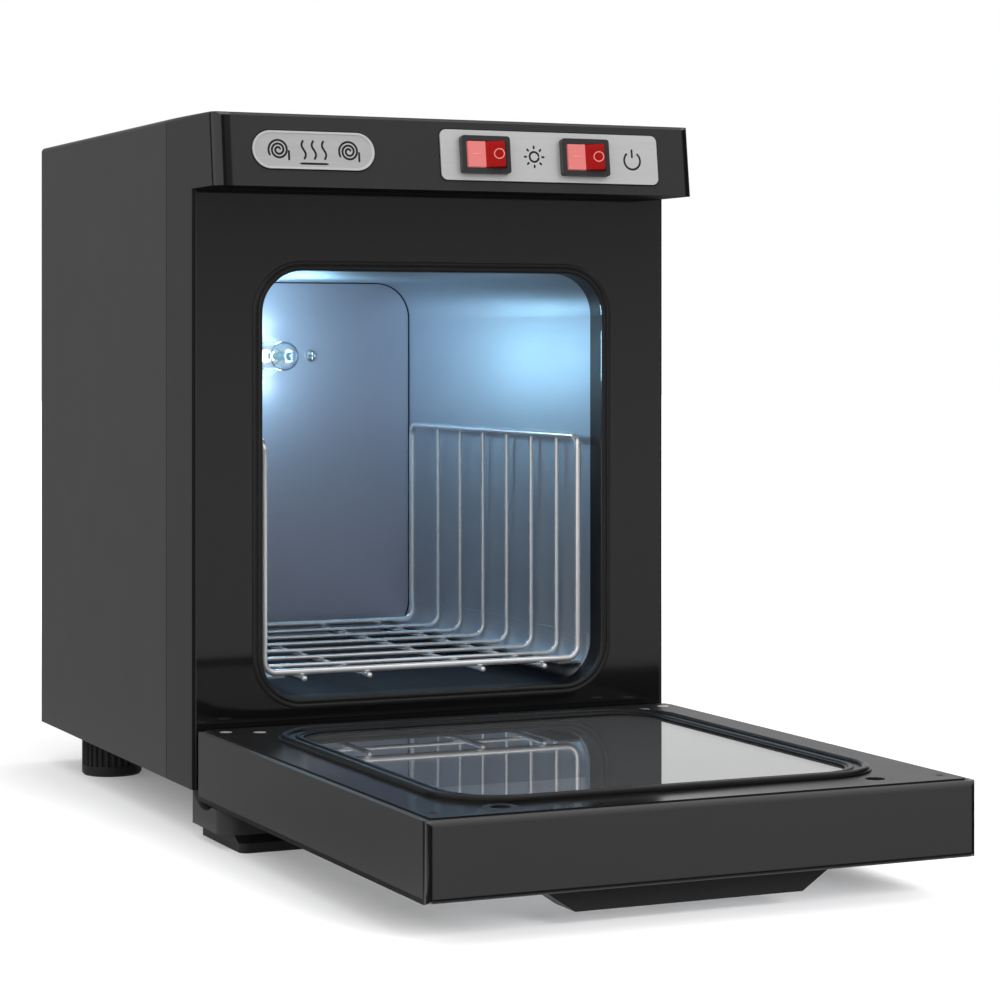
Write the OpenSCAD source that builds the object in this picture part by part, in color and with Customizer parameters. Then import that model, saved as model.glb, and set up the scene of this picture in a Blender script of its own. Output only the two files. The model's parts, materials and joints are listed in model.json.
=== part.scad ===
// Small hot-towel cabinet with a drop-down glazed door, drawn with the door open and both switches on.
// Cabinet coordinates: x across, y into the depth from the front plane, z up from the casing's underside.
// Door coordinates: x across, y from the hinge edge to the free edge, z up from the inner panel's face.

/* [Casing] */
// Width of the casing, the moulded front and the door
body_w = 206; // [190:1:240]
// Depth of the casing behind the front plane
body_d = 221; // [215:1:260]
// Height of the casing
body_h = 263.5; // [255:0.5:300]
// Height of the casing's underside above the floor
stand_h = 18; // [16:0.5:24]
// Thickness of the sheet metal
sheet_t = 1; // [0.8:0.1:1.5]
// Radius of the casing's upper long edges
case_edge_r = 2; // [1:0.1:4]
// Width of the flanges that carry the rear panel
flange_w = 10; // [8:0.5:14]
// Height of the base pan's lips
pan_lip_h = 12; // [8:0.5:16]

/* [Moulded front] */
// Depth of the moulded front behind the front plane
frame_d = 34; // [30:0.5:40]
// Wall thickness of the mouldings
wall_t = 2.5; // [2:0.1:3]
// Width of the chamber opening
opening_w = 148.8; // [130:0.2:154]
// Distance from the chamber opening's upper edge to the fascia
opening_top_gap = 31.5; // [27:0.1:40]
// Height of the opening's lower edge above the casing's underside
opening_z = 33.4; // [28:0.2:36]
// Corner radius of the opening
opening_r = 17; // [12:0.5:22]
// Depth of the collar behind the opening
collar_d = 10.6; // [10:0.2:18]
// Width of the trim round the opening
trim_w = 4; // [2.4:0.1:5]
// Height of the trim's beads above the front plane
trim_h = 0.9; // [0.5:0.1:1.2]
// Length of the lip that laps inside the casing
lap_d = 5; // [3:0.5:8]
// Radius of the front plate's upright edges
plate_edge_r = 1.2; // [0.6:0.1:2]
// Width of the groove between the moulded front and the casing
seam_w = 0.7; // [0.4:0.1:1.2]

/* [Control fascia] */
// Height of the fascia
fascia_h = 28.4; // [26:0.2:34]
// How far the moulding's top falls from the casing to the fascia's upper edge
fascia_fall = 1; // [0.4:0.1:1.4]
// How far the fascia's upper edge stands in front of the front plane
fascia_reach_top = 24.1; // [20:0.1:27]
// How far the fascia's lower edge stands in front of the front plane
fascia_reach_bottom = 27.7; // [27.2:0.1:34]
// Radius of the fascia's upright front edges
fascia_edge_r = 4.5; // [4:0.5:10]
// Width of the chamfer along the fascia's upper front edge
fascia_chamfer = 1.2; // [0.6:0.1:2]

/* [Badge and switches] */
// Width of the badge plate
badge_w = 50.2; // [30:0.2:60]
// Height of the badge plate
badge_h = 14.8; // [10:0.2:18]
// Distance from the casing's left side to the badge
badge_inset = 15.3; // [10:0.2:24]
// Width of the switch plate
plate_w = 96; // [90:0.5:105]
// Height of the switch plate
plate_h = 20.2; // [18:0.2:21]
// Corner radius of the switch plate
plate_r = 2.6; // [1:0.1:5]
// Distance from the casing's right side to the switch plate
plate_inset = 16.4; // [8:0.1:20]
// Thickness of the badge and switch plates
plate_t = 1; // [0.8:0.1:1.4]
// Depth of the plates' recesses in the fascia
recess_d = 0.4; // [0.2:0.1:0.7]
// Width of a switch bezel
bezel_w = 21; // [20.5:0.1:24]
// Height of a switch bezel
bezel_h = 15; // [14.6:0.1:17]
// Thickness of a switch bezel
bezel_t = 2.6; // [1.6:0.1:2.6]
// Depth of a switch body behind the plate
switch_d = 16; // [14:0.5:20]
// Distance from the plate's left end to the first switch
switch_first = 18.6; // [14:0.1:20]
// Distance between the two switches
switch_pitch = 43.9; // [35:0.1:50]
// Length of a rocker, end to end
rocker_len = 16.4; // [15:0.1:16.6]
// Height of a rocker
rocker_h = 10.2; // [9:0.1:10.4]
// Slope of each rocker facet, half of the rocker's travel
rocker_tilt = 10; // [6:0.5:12]
// Radius of the rocker's trunnions
trunnion_r = 1.2; // [0.8:0.1:1.4]

/* [Chamber] */
// Distance from the chamber's back plate to the casing's back
chamber_back_gap = 13; // [11:0.5:30]
// Thickness of the chamber's liner and back plate
liner_t = 0.8; // [0.6:0.1:1.2]
// Thickness of the insulation blanket
blanket_t = 12; // [6:0.5:14]
// Width of the heater plate
heater_w = 110; // [80:1:115]
// Length of the heater plate
heater_l = 120; // [90:1:140]
// Thickness of the heater plate
heater_t = 3; // [2:0.1:5]

/* [Lamp] */
// Distance from the chamber's ceiling down to the lamp's axis
lamp_drop = 34.8; // [28:0.5:50]
// Radius of the lamp holder's flange
holder_r = 9.6; // [9:0.1:12]
// Height of the lamp holder in front of the back plate
holder_h = 6; // [4:0.1:8]
// Radius of the lamp glass
lamp_r = 6.8; // [5:0.1:8]
// Length of the lamp glass in front of its holder
lamp_len = 30; // [22:0.5:40]
// Wall of the lamp glass
lamp_wall = 0.8; // [0.6:0.1:1.2]
// Distance from the lamp's axis to each fixing screw
lamp_screw_x = 24; // [18:0.5:30]

/* [Basket] */
// Clearance between the basket frame's wire centres and the chamber's side walls
basket_side_gap = 5; // [4.5:0.1:9]
// Distance from the front plane to the basket's front wire
basket_front = 12; // [8:0.5:30]
// Distance from the basket's rear wire to the back plate
basket_back_gap = 16; // [6:0.5:30]
// Height of the basket's floor frame above the chamber's floor
basket_z = 9.2; // [8.5:0.1:16]
// Distance from the basket's upper rails up to the lamp's axis
basket_lamp_gap = 32.8; // [24:0.2:50]
// Radius of the basket's frame wire
frame_wire_r = 1.4; // [1.1:0.05:1.7]
// Radius of the basket's cross wires
cross_wire_r = 0.9; // [0.7:0.05:1.1]
// Radius of the basket's long runners
runner_r = 1.2; // [0.9:0.05:1.4]
// Bend radius of the basket's wires
wire_bend_r = 5; // [3.5:0.1:8]
// Number of cross wires
cross_wires = 6; // [3:1:8]
// Distance from the middle to the inner runners
runner_inner_x = 25; // [15:0.5:35]
// Distance from the middle to the outer runners
runner_outer_x = 53; // [40:0.5:55]

/* [Door] */
// Thickness of the door
door_t = 27; // [24:0.2:28]
// How far the open door's outer face lies below the casing's underside
door_drop = 2.8; // [1:0.1:3.4]
// Gap between the open door's hinge edge and the front plane
hinge_gap = 5; // [4.5:0.1:6]
// Height of the shut door's lower edge above the casing's underside
closed_bottom = 4; // [3:0.1:5]
// Gap between the shut door's inner panel and the front plane
closed_gap = 2.6; // [2.6:0.1:4]
// Gap between the shut door's upper edge and the fascia
door_top_gap = 2.2; // [1.5:0.1:5]
// Radius of the door's upright corners
door_corner_r = 2.6; // [2:0.1:6]
// Radius of the door shell's long edges
door_edge_r = 2; // [1:0.1:2.4]
// Thickness of the inner panel
panel_t = 3; // [2.4:0.1:3.6]
// Thickness of the glass pane
glass_t = 4; // [3:0.1:5]
// How far the inner panel stands above the shell's rim
panel_proud = 0.6; // [0.2:0.1:1]
// How far the gasket reaches beyond the chamber opening
gasket_reach = 10; // [8.5:0.1:11]
// Width of the gasket strip
gasket_w = 9.2; // [8:0.1:11]
// Height of the gasket's outer bead
gasket_h = 2; // [1.7:0.1:2.2]
// Radius of a catch magnet
magnet_r = 6; // [3:0.1:6]
// Distance from the door's free edge to the magnets
magnet_inset = 14.3; // [10:0.1:15.5]
// Distance from the middle to each magnet
magnet_x = 70.8; // [60:0.1:80]

/* [Handle] */
// Width of the handle where it meets the door
handle_root_w = 115; // [90:1:140]
// Width of the handle at its outer face
handle_face_w = 86; // [70:1:110]
// How far the handle stands out from the door
handle_out = 9.7; // [9:0.1:12]
// Size of the handle from its upper to its lower face
handle_deep = 15; // [14:0.5:28]
// Distance from the door's free edge to the handle
handle_inset = 16; // [8:0.5:20]
// Thickness of the handle's grip lip
grip_t = 3; // [2:0.1:4]

/* [Hinges and feet] */
// Radius of the hinge pins
pin_r = 2.5; // [2:0.1:3]
// Radius of the hinge ears round the pins
ear_r = 6; // [5:0.1:6.4]
// Thickness of the hinge ears
ear_t = 6.4; // [4:0.1:8]
// Distance from the casing's side to the hinge ear
ear_inset = 9.9; // [6:0.1:11]
// Width of a hinge bracket
bracket_w = 36; // [32:0.5:42]
// How far a bracket stands in front of the front plane
bracket_front = 35; // [30:0.5:40]
// Length of the bracket's tongue under the casing
tongue_l = 26; // [22:0.5:29]
// Thickness of the bracket's tongue
tongue_t = 7; // [5:0.1:8]
// Distance from the casing's side to the tongue
tongue_inset = 22; // [18:0.5:26]
// Radius of a bracket's upright front corner
bracket_r = 7; // [3:0.5:10]
// Thickness of the foot pad under a bracket
pad_t = 5.6; // [4.8:0.1:7]
// Distance from the casing's side to the foot pad
pad_inset = 5; // [2:0.5:8]
// How far the foot pad stands in front of its bracket
pad_front = 8; // [6:0.5:12]
// How far the foot pad runs back behind its bracket
pad_back = 5.5; // [2:0.5:10]
// Height of the foot pad's front edge
pad_edge_h = 3.6; // [2.6:0.1:4.4]
// Radius of a rear foot over its ribs
foot_r = 13.2; // [11:0.1:16]
// Height of a rear foot's smooth base ring
foot_ring_h = 4.5; // [3:0.1:6]
// Number of ribs round a rear foot
foot_ribs = 28; // [16:1:36]
// Distance from the casing's side to a rear foot's centre
foot_side = 18.5; // [17.5:0.5:26]
// Distance from the casing's back to a rear foot's centre
foot_back = 50; // [24:1:60]

/* [Hardware] */
// Radius of the small screws' shanks
screw_r = 1.5; // [1.2:0.05:1.7]
// Radius of the small screws' heads
screw_head_r = 3; // [2.4:0.1:3.4]
// Height of the small screws' heads
screw_head_h = 1.8; // [1.4:0.1:2.4]
// Bore radius of the cord gland
gland_bore_r = 3.6; // [3:0.1:4.2]
// How far the cord gland stands out behind the rear panel
gland_out = 6; // [4:0.5:12]
// Height of the cord gland above the casing's underside
gland_z = 24; // [18:0.5:60]
// Distance from the casing's side to the cord gland
gland_side = 32; // [24:0.5:60]

/* [Clearances] */
// Clearance round fixed pieces that fit into others
fit_gap = 0.1; // [0.05:0.01:0.2]
// Radial clearance of the hinge pins and trunnions
run_gap = 0.05; // [0.03:0.01:0.08]
// Clearance between pieces that move past each other
move_gap = 0.35; // [0.3:0.05:0.6]

/* [Hidden] */
$fn = 64;
cut = 1;

// Overall placing: the origin is under the middle of the whole outline, door and gland included
door_len = body_h - fascia_fall - fascia_h - closed_bottom - door_top_gap;
front_y = (hinge_gap + door_len - body_d - gland_out) / 2;
side_x = body_w / 2;

// Opening, chamber and basket
fascia_top_z = body_h - fascia_fall;
fascia_z = fascia_top_z - fascia_h;
opening_h = fascia_z - opening_top_gap - opening_z;
chamber_d = body_d - chamber_back_gap;
opening_mid_z = opening_z + opening_h / 2;
opening_top_z = opening_z + opening_h;
liner_bottom_z = opening_z - liner_t;
lamp_z = opening_top_z - lamp_drop;
basket_x = opening_w / 2 - basket_side_gap;
basket_back = chamber_d - basket_back_gap;
basket_low_z = opening_z + basket_z;
basket_top_z = lamp_z - basket_lamp_gap;
lamp_screw_len = 6;
weld_gap = 0.05;
cross_x = basket_x + frame_wire_r + cross_wire_r + weld_gap;
runner_z = basket_low_z - frame_wire_r - runner_r - weld_gap;
cross_z = runner_z + runner_r + cross_wire_r + weld_gap;
cross_pitch = (basket_back - basket_front) / (cross_wires + 1);
rail_top_z = basket_low_z - frame_wire_r - fit_gap;
rail_t = 0.8;
rail_w = 14;
rail_leg_h = 11;
rail_front_gap = 2;
rail_back_gap = 6;

// Fascia: its front face leans back, and its own axes are x, up the face and out of the face
fascia_mid_y = -(fascia_reach_top + fascia_reach_bottom) / 2;
fascia_mid_z = fascia_z + fascia_h / 2;
fascia_tilt = atan((fascia_reach_bottom - fascia_reach_top) / fascia_h);
top_slope = atan(fascia_fall / (frame_d + fascia_reach_top));
badge_x = badge_inset + badge_w / 2 - side_x;
plate_x = side_x - plate_inset - plate_w / 2;
uv_switch_x = plate_x - plate_w / 2 + switch_first;
power_switch_x = uv_switch_x + switch_pitch;
plate_face = plate_t - recess_d;

// Switches: sizes across the plate, up the plate and out of the fascia
switch_wall = 1.1;
cavity_w = rocker_len + 2 * move_gap;
cavity_h = rocker_h + 2 * move_gap;
switch_body_w = cavity_w + 2 * switch_wall;
switch_body_h = cavity_h + 2 * switch_wall;
switch_hole_w = switch_body_w + 2 * fit_gap;
switch_hole_h = switch_body_h + 2 * fit_gap;
cavity_d = 8;
pivot_out = plate_face + bezel_t / 4;
rocker_crest = 2.2;
rocker_belly = 2.2;
keel_w = 4.4;
keel_d = 6;
trunnion_len = rocker_h / 2 + switch_wall;
tab_w = 4.8;
tab_t = 0.8;
tab_len = 8;
tab_x = 4.5;

// Lap of the moulded front inside the casing
lap_gap = 0.2;
lap_t = 1.5;
lap_inset = sheet_t + lap_gap;
seam_d = sheet_t / 2;

// Door, worked out so that the shut door lies in front of the opening and under the fascia
door_inner_z = door_t - door_drop;
pin_inset = (closed_gap + door_inner_z - hinge_gap - closed_bottom) / 2;
pin_y = -(hinge_gap + pin_inset);
pin_z = pin_inset + closed_bottom;
pin_depth = door_inner_z - pin_z;
rim_t = door_t - panel_proud;
gasket_out_w = opening_w + 2 * gasket_reach;
gasket_out_l = opening_h + 2 * gasket_reach;
gasket_out_r = opening_r + gasket_reach;
gasket_mid = opening_mid_z - closed_bottom;
gasket_base_h = 0.7;
gasket_bead_r = 1.5;
gasket_low_bead_r = 1.2;
gasket_low_bead_h = 1.4;
window_w = gasket_out_w - 2 * gasket_w - 5.6;
window_l = gasket_out_l - 2 * gasket_w - 5.6;
window_r = gasket_out_r - gasket_w - 2.8;
sill_t = 3;
glass_lap = 6.6;
pane_w = window_w + 2 * glass_lap;
pane_l = window_l + 2 * glass_lap;
pane_r = window_r + glass_lap;
magnet_t = 4;
magnet_well_r = 3.5;
magnet_well_d = 2.5;
magnet_y = door_len - magnet_inset;
strike_z = magnet_y + closed_bottom;
strike_r = 7;
strike_t = 1.5;

// Hinge corners of the door
hinge_block_w = 26;
hinge_block_l = pin_inset + 11.5;
ear_x = side_x - ear_inset - ear_t / 2;
notch_w = ear_t + 2 * move_gap;
notch_r = ear_r + move_gap;
pin_far_x = side_x - 2;
pin_near_x = side_x - hinge_block_w + 2;

// Panel screws, as distances from the casing's side and along the door
panel_screw_len = 6;
panel_screw_r = screw_r * 0.8;
panel_head_r = screw_head_r * 0.8;
panel_screws = [[8.2, 11], [20, 16.5], [7.5, door_len - 12]];
boss_r = 3.6;

// Handle
handle_y = door_len - handle_inset - handle_deep;
pocket_w = handle_face_w - 10;
pocket_d = handle_deep - 6;
handle_screw_x = 44;
handle_screw_y = door_len - handle_inset - 4;
handle_screw_in = 6.5;

// Brackets and feet
bracket_top = -(door_drop + move_gap);
bracket_bottom = pad_t - stand_h;
sweep_r = norm([pin_inset, pin_z + door_drop]) + move_gap;
tongue_w = 16;
bracket_screw_x = side_x - tongue_inset - tongue_w / 2;
bracket_screw_y = [7, tongue_l - 7];
bracket_boss_h = 12;
bracket_boss_r = 4;
foot_x = side_x - foot_side;
foot_y = body_d - foot_back;
foot_rib_r = 0.9;
foot_well_r = 5;
foot_well_d = 8;
foot_screw_r = 2;
foot_screw_head_r = 3.8;
foot_screw_head_h = 2.6;

// Rear panel
gland_x = side_x - gland_side;
gland_flange_r = 9;
gland_neck_r = 6;
gland_flange_t = 3;
gland_tail = 8;
case_screw_x = side_x - sheet_t - flange_w / 2;
case_screw_z = [20, body_h / 2, body_h - 20];
case_screw_len = 6;

// Pieces under the chamber
heater_y = (collar_d + chamber_d) / 2;
heater_low_z = liner_bottom_z - heater_t;
thermostat_x = 22;
cutout_x = -24;
driver_x = -30;
block_x = 20;
wiring_behind = 20;
wiring_y = heater_y + wiring_behind;

casing_colour = [0.16, 0.16, 0.165];
gloss_colour = [0.05, 0.05, 0.055];
rubber_colour = [0.03, 0.03, 0.03];
silver_colour = [0.72, 0.72, 0.73];
metal_colour = [0.78, 0.79, 0.8];
red_colour = [0.75, 0.06, 0.06];

// Places

module in_cabinet() {
    translate([0, front_y, stand_h]) children();
}

module fascia_space() {
    translate([0, fascia_mid_y, fascia_mid_z]) rotate([90 - fascia_tilt, 0, 0]) children();
}

module in_fascia() {
    in_cabinet() fascia_space() children();
}

module in_door() {
    in_cabinet() translate([0, -hinge_gap, door_inner_z]) rotate([0, 0, 180]) children();
}

module in_lamp() {
    in_cabinet() translate([0, chamber_d, lamp_z]) rotate([90, 0, 0]) children();
}

module both_sides() {
    children();
    mirror([1, 0, 0]) children();
}

// Shared shapes

// Rounded rectangle about the origin
module round_rect(w, h, r) {
    square([w - 2 * r, h], center = true);
    square([w, h - 2 * r], center = true);
    for (sx = [-1, 1], sy = [-1, 1])
        translate([sx * (w / 2 - r), sy * (h / 2 - r)]) circle(r);
}

// Strip with fully round ends about the origin
module pill(w, h) {
    square([w - h, h], center = true);
    for (side = [-1, 1]) translate([side * (w - h) / 2, 0]) circle(h / 2);
}

// Extrudes an outline drawn in x and z from depth y0 to depth y1
module along_depth(y0, y1) {
    translate([0, y1, 0]) rotate([90, 0, 0]) linear_extrude(y1 - y0) children();
}

// Extrudes an outline drawn in y and z across x from x0 to x1
module across(x0, x1) {
    translate([x0, 0, 0]) rotate([90, 0, 90]) linear_extrude(x1 - x0) children();
}

// Cylinder along x
module rod_x(x0, x1, r) {
    translate([x0, 0, 0]) rotate([0, 90, 0]) cylinder(h = x1 - x0, r = r);
}

// Cylinder along y
module rod_y(y0, y1, r) {
    translate([0, y1, 0]) rotate([90, 0, 0]) cylinder(h = y1 - y0, r = r);
}

// Quarter of a wire ring that turns from x to y
module wire_bend(bend_r, wire_r) {
    rotate_extrude(angle = 90) translate([bend_r, 0]) circle(wire_r);
}

// Carries a profile, drawn as distance outwards and height, round a rounded rectangle
module ring_sweep(w, h, r) {
    for (side = [0:3]) {
        reach = (side % 2 == 0 ? w : h) / 2;
        half_run = (side % 2 == 0 ? h : w) / 2 - r;
        rotate([0, 0, 90 * side]) {
            translate([reach, half_run, 0]) rotate([90, 0, 0]) linear_extrude(2 * half_run) children();
            translate([reach - r, half_run, 0]) rotate_extrude(angle = 90) translate([r, 0]) children();
        }
    }
}

// Straight-sided bead with a half-round top
module bead(r, h) {
    intersection() {
        translate([0, h - r]) circle(r);
        translate([-r, 0]) square([2 * r, h]);
    }
    translate([-r, 0]) square([2 * r, h - r]);
}

// Cross-shaped recess for a screwdriver, sunk from z = 0
module cross_recess(head_r, depth) {
    arm_l = 1.2 * head_r;
    arm_w = 0.3 * head_r;
    for (size = [[arm_l, arm_w], [arm_w, arm_l]])
        translate([-size[0] / 2, -size[1] / 2, -depth]) cube([size[0], size[1], depth + cut]);
}

// Pan-head screw along -z: the head's underside is at the origin and the shank runs down
module pan_screw(shank_len, r = screw_r, head_r = screw_head_r, head_h = screw_head_h) {
    dome_r = 1.2 * head_r;
    difference() {
        rotate_extrude() {
            square([head_r, head_h / 2]);
            intersection() {
                translate([0, head_h - dome_r]) circle(dome_r);
                square([head_r, head_h]);
            }
            translate([0, -shank_len]) square([r, shank_len + head_h / 4]);
        }
        translate([0, 0, head_h]) cross_recess(head_r, head_h / 2);
    }
}

// Casing's front outline, drawn in by an inset: round upper corners, square lower ones
module casing_outline(inset) {
    w = body_w - 2 * inset;
    h = body_h - 2 * inset;
    translate([0, body_h / 2]) round_rect(w, h, max(case_edge_r - inset, 0.4));
    translate([-w / 2, inset]) square([w, h / 2]);
}

// Chamber opening's outline, grown by a width
module opening_outline(grow) {
    translate([0, opening_mid_z]) round_rect(opening_w + 2 * grow, opening_h + 2 * grow, opening_r + grow);
}

// Casing

// Bent sheet over both sides and the top, with flanges behind for the rear panel
module case_wrap() {
    flange_y = body_d - sheet_t;
    color(casing_colour) in_cabinet() difference() {
        union() {
            along_depth(frame_d, flange_y) difference() {
                casing_outline(0);
                casing_outline(sheet_t);
            }
            along_depth(flange_y - sheet_t, flange_y) difference() {
                casing_outline(sheet_t / 2);
                casing_outline(sheet_t + flange_w);
            }
        }
        translate([sheet_t - side_x, frame_d - cut, -cut])
            cube([body_w - 2 * sheet_t, body_d, cut + sheet_t + lap_gap]);
        translate([sheet_t + flange_w - side_x, flange_y - sheet_t - cut, -cut])
            cube([body_w - 2 * (sheet_t + flange_w), sheet_t + 2 * cut, cut + sheet_t + flange_w + cut]);
        for (z = case_screw_z) translate([0, 0, z]) both_sides()
            translate([case_screw_x, 0, 0]) rod_y(flange_y - 2 * sheet_t, body_d, screw_r + fit_gap);
    }
}

// Flat sheet that closes the back
module rear_panel() {
    color(casing_colour) in_cabinet() difference() {
        along_depth(body_d - sheet_t, body_d) casing_outline(0);
        translate([gland_x, 0, gland_z]) rod_y(body_d - sheet_t - cut, body_d + cut, gland_neck_r + fit_gap);
        for (z = case_screw_z) translate([0, 0, z]) both_sides()
            translate([case_screw_x, 0, 0]) rod_y(body_d - sheet_t - cut, body_d + cut, screw_r + fit_gap);
    }
}

// Tray under the casing with lips at the sides and the back
module base_pan() {
    pan_w = body_w - 2 * sheet_t;
    back_y = body_d - sheet_t;
    lip_y = frame_d + lap_d + lap_gap;
    color(casing_colour) in_cabinet() difference() {
        union() {
            translate([-pan_w / 2, frame_d, 0]) cube([pan_w, back_y - frame_d, sheet_t]);
            both_sides() translate([pan_w / 2 - sheet_t, lip_y, 0])
                cube([sheet_t, back_y - sheet_t - lip_y - lap_gap, pan_lip_h]);
            translate([flange_w + lap_gap - pan_w / 2, back_y - sheet_t, 0])
                cube([pan_w - 2 * (flange_w + lap_gap), sheet_t, pan_lip_h]);
        }
        both_sides() translate([foot_x, foot_y, -cut])
            cylinder(h = sheet_t + 2 * cut, r = foot_screw_r + fit_gap);
    }
}

// Solid of the overhanging fascia, drawn in by an inset
module fascia_block(inset) {
    block_d = 3 * fascia_reach_bottom;
    intersection() {
        along_depth(-2 * fascia_reach_bottom, wall_t + inset) casing_outline(inset);
        translate([-body_w, -body_d, fascia_z + inset]) cube([2 * body_w, 2 * body_d, body_h]);
        fascia_space() rotate([90, 0, 0]) linear_extrude(3 * fascia_h, center = true)
            translate([0, -inset - block_d / 2])
            round_rect(body_w - 2 * inset, block_d, fascia_edge_r - inset);
    }
}

// Front plate with its side walls as one solid, its upright front edges rounded
module plate_block() {
    intersection() {
        along_depth(0, frame_d) casing_outline(0);
        translate([0, frame_d, -cut]) linear_extrude(body_h + 2 * cut)
            round_rect(body_w, 2 * frame_d, plate_edge_r);
    }
}

// One moulding: front plate, side walls, overhanging fascia, collar round the opening and lap for the casing
module front_frame() {
    color(casing_colour) in_cabinet() difference() {
        union() {
            difference() {
                union() {
                    plate_block();
                    fascia_block(0);
                }
                along_depth(wall_t, frame_d + cut) casing_outline(wall_t);
                fascia_block(wall_t);
            }
            along_depth(frame_d - wall_t, frame_d + lap_d) difference() {
                casing_outline(lap_inset);
                casing_outline(lap_inset + lap_t);
            }
            along_depth(wall_t / 2, collar_d) opening_outline(wall_t);
            both_sides() for (y = bracket_screw_y)
                translate([bracket_screw_x, y, wall_t / 2])
                    cylinder(h = bracket_boss_h - wall_t / 2, r = bracket_boss_r);
        }
        along_depth(-cut, collar_d + cut) opening_outline(0);
        along_depth(frame_d - seam_w, frame_d) difference() {
            casing_outline(-cut);
            casing_outline(seam_d);
        }
        translate([0, frame_d, body_h]) rotate([top_slope, 0, 0]) translate([-body_w, -body_d, 0])
            cube([2 * body_w, body_d, fascia_h]);
        translate([0, -fascia_reach_top, fascia_top_z]) rotate([45 - fascia_tilt / 2, 0, 0])
            cube([2 * body_w, fascia_chamfer * sqrt(2), fascia_chamfer * sqrt(2)], center = true);
        fascia_space() {
            translate([badge_x, 0, -recess_d]) linear_extrude(recess_d + cut)
                pill(badge_w + 2 * fit_gap, badge_h + 2 * fit_gap);
            translate([plate_x, 0, -recess_d]) linear_extrude(recess_d + cut)
                round_rect(plate_w + 2 * fit_gap, plate_h + 2 * fit_gap, plate_r + fit_gap);
            for (x = [uv_switch_x, power_switch_x]) translate([x, 0, 0])
                cube([switch_hole_w, switch_hole_h, 3 * wall_t], center = true);
        }
        both_sides() for (y = bracket_screw_y)
            translate([bracket_screw_x, y, -cut]) cylinder(h = bracket_boss_h, r = screw_r + fit_gap);
    }
}

// Double-bead trim that edges the opening
module opening_trim() {
    bead_r = trim_w / 4;
    color(gloss_colour) in_cabinet() translate([0, 0, opening_mid_z]) rotate([90, 0, 0])
        ring_sweep(opening_w, opening_h, opening_r) {
            square([trim_w, trim_h / 3]);
            intersection() {
                for (x = [bead_r, trim_w - bead_r]) translate([x, trim_h - bead_r]) circle(bead_r);
                square([trim_w, trim_h]);
            }
        }
}

// Controls

// Pill-shaped plate with a raised rim
module badge_plate() {
    rim_w = 0.8;
    rim_h = 0.3;
    color(silver_colour) in_fascia() translate([badge_x, 0, -recess_d]) difference() {
        linear_extrude(plate_t) pill(badge_w, badge_h);
        translate([0, 0, plate_t - rim_h]) linear_extrude(plate_t)
            pill(badge_w - 2 * rim_w, badge_h - 2 * rim_w);
    }
}

// Rounded plate that both switches snap into
module switch_plate() {
    color(silver_colour) in_fascia() translate([0, 0, -recess_d]) linear_extrude(plate_t) difference() {
        translate([plate_x, 0]) round_rect(plate_w, plate_h, plate_r);
        for (x = [uv_switch_x, power_switch_x]) translate([x, 0])
            square([switch_hole_w, switch_hole_h], center = true);
    }
}

// Switch body with its bezel, the rocker's well and the trunnion seats
module switch_housing(x) {
    bezel_r = 1.2;
    color(gloss_colour) in_fascia() translate([x, 0, 0]) difference() {
        union() {
            translate([0, 0, plate_face]) linear_extrude(bezel_t) round_rect(bezel_w, bezel_h, bezel_r);
            translate([0, 0, -switch_d]) linear_extrude(switch_d + plate_face + bezel_t / 2)
                square([switch_body_w, switch_body_h], center = true);
        }
        translate([0, 0, -cavity_d]) linear_extrude(cavity_d + plate_face + bezel_t + cut)
            square([cavity_w, cavity_h], center = true);
        translate([0, 0, pivot_out])
            rod_y(-trunnion_len - fit_gap, trunnion_len + fit_gap, trunnion_r + run_gap);
    }
}

module uv_switch_housing() {
    switch_housing(uv_switch_x);
}

module power_switch_housing() {
    switch_housing(power_switch_x);
}

// Two blade terminals behind each switch
module switch_terminals() {
    color("goldenrod") in_fascia() for (x = [uv_switch_x, power_switch_x], side = [-1, 1])
        translate([x + side * tab_x, 0, -switch_d - tab_len]) rotate([90, 0, 90]) difference() {
            translate([-tab_w / 2, 0, -tab_t / 2]) cube([tab_w, tab_len, tab_t]);
            translate([0, tab_len / 3, -cut]) cylinder(h = 2 * cut, r = tab_w / 5);
        }
}

// Rocker with two facets that meet in a shallow valley, tipped to its on side
module rocker(x) {
    half = rocker_len / 2;
    end_z = rocker_crest + (half + cut) * tan(rocker_tilt);
    color(red_colour) in_fascia() translate([x, 0, pivot_out]) rotate([0, -rocker_tilt, 0]) {
        rotate([90, 0, 0]) linear_extrude(rocker_h, center = true) {
            intersection() {
                circle(half);
                polygon([[-half - cut, -rocker_belly], [half + cut, -rocker_belly],
                    [half + cut, end_z], [0, rocker_crest], [-half - cut, end_z]]);
            }
            translate([-keel_w / 2, -keel_d]) square([keel_w, keel_d]);
        }
        rod_y(-trunnion_len, trunnion_len, trunnion_r);
    }
}

module uv_rocker() {
    rocker(uv_switch_x);
}

module power_rocker() {
    rocker(power_switch_x);
}

// Chamber

// Folded aluminium tube with a front flange that sits on the collar
module chamber_liner() {
    front_flange = 6;
    color(metal_colour) in_cabinet() {
        along_depth(collar_d, chamber_d) difference() {
            opening_outline(liner_t);
            opening_outline(0);
        }
        along_depth(collar_d, collar_d + liner_t) difference() {
            opening_outline(front_flange);
            opening_outline(liner_t / 2);
        }
    }
}

// Plate that closes the chamber, with holes for the lamp holder and its screws
module chamber_back_plate() {
    rear_flange = 3;
    color(metal_colour) in_cabinet() difference() {
        along_depth(chamber_d, chamber_d + liner_t) opening_outline(rear_flange);
        translate([0, 0, lamp_z]) {
            rod_y(chamber_d - cut, chamber_d + liner_t + cut, holder_r * 0.8 + fit_gap);
            both_sides() translate([lamp_screw_x, 0, 0])
                rod_y(chamber_d - cut, chamber_d + liner_t + cut, screw_r + fit_gap);
        }
    }
}

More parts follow.
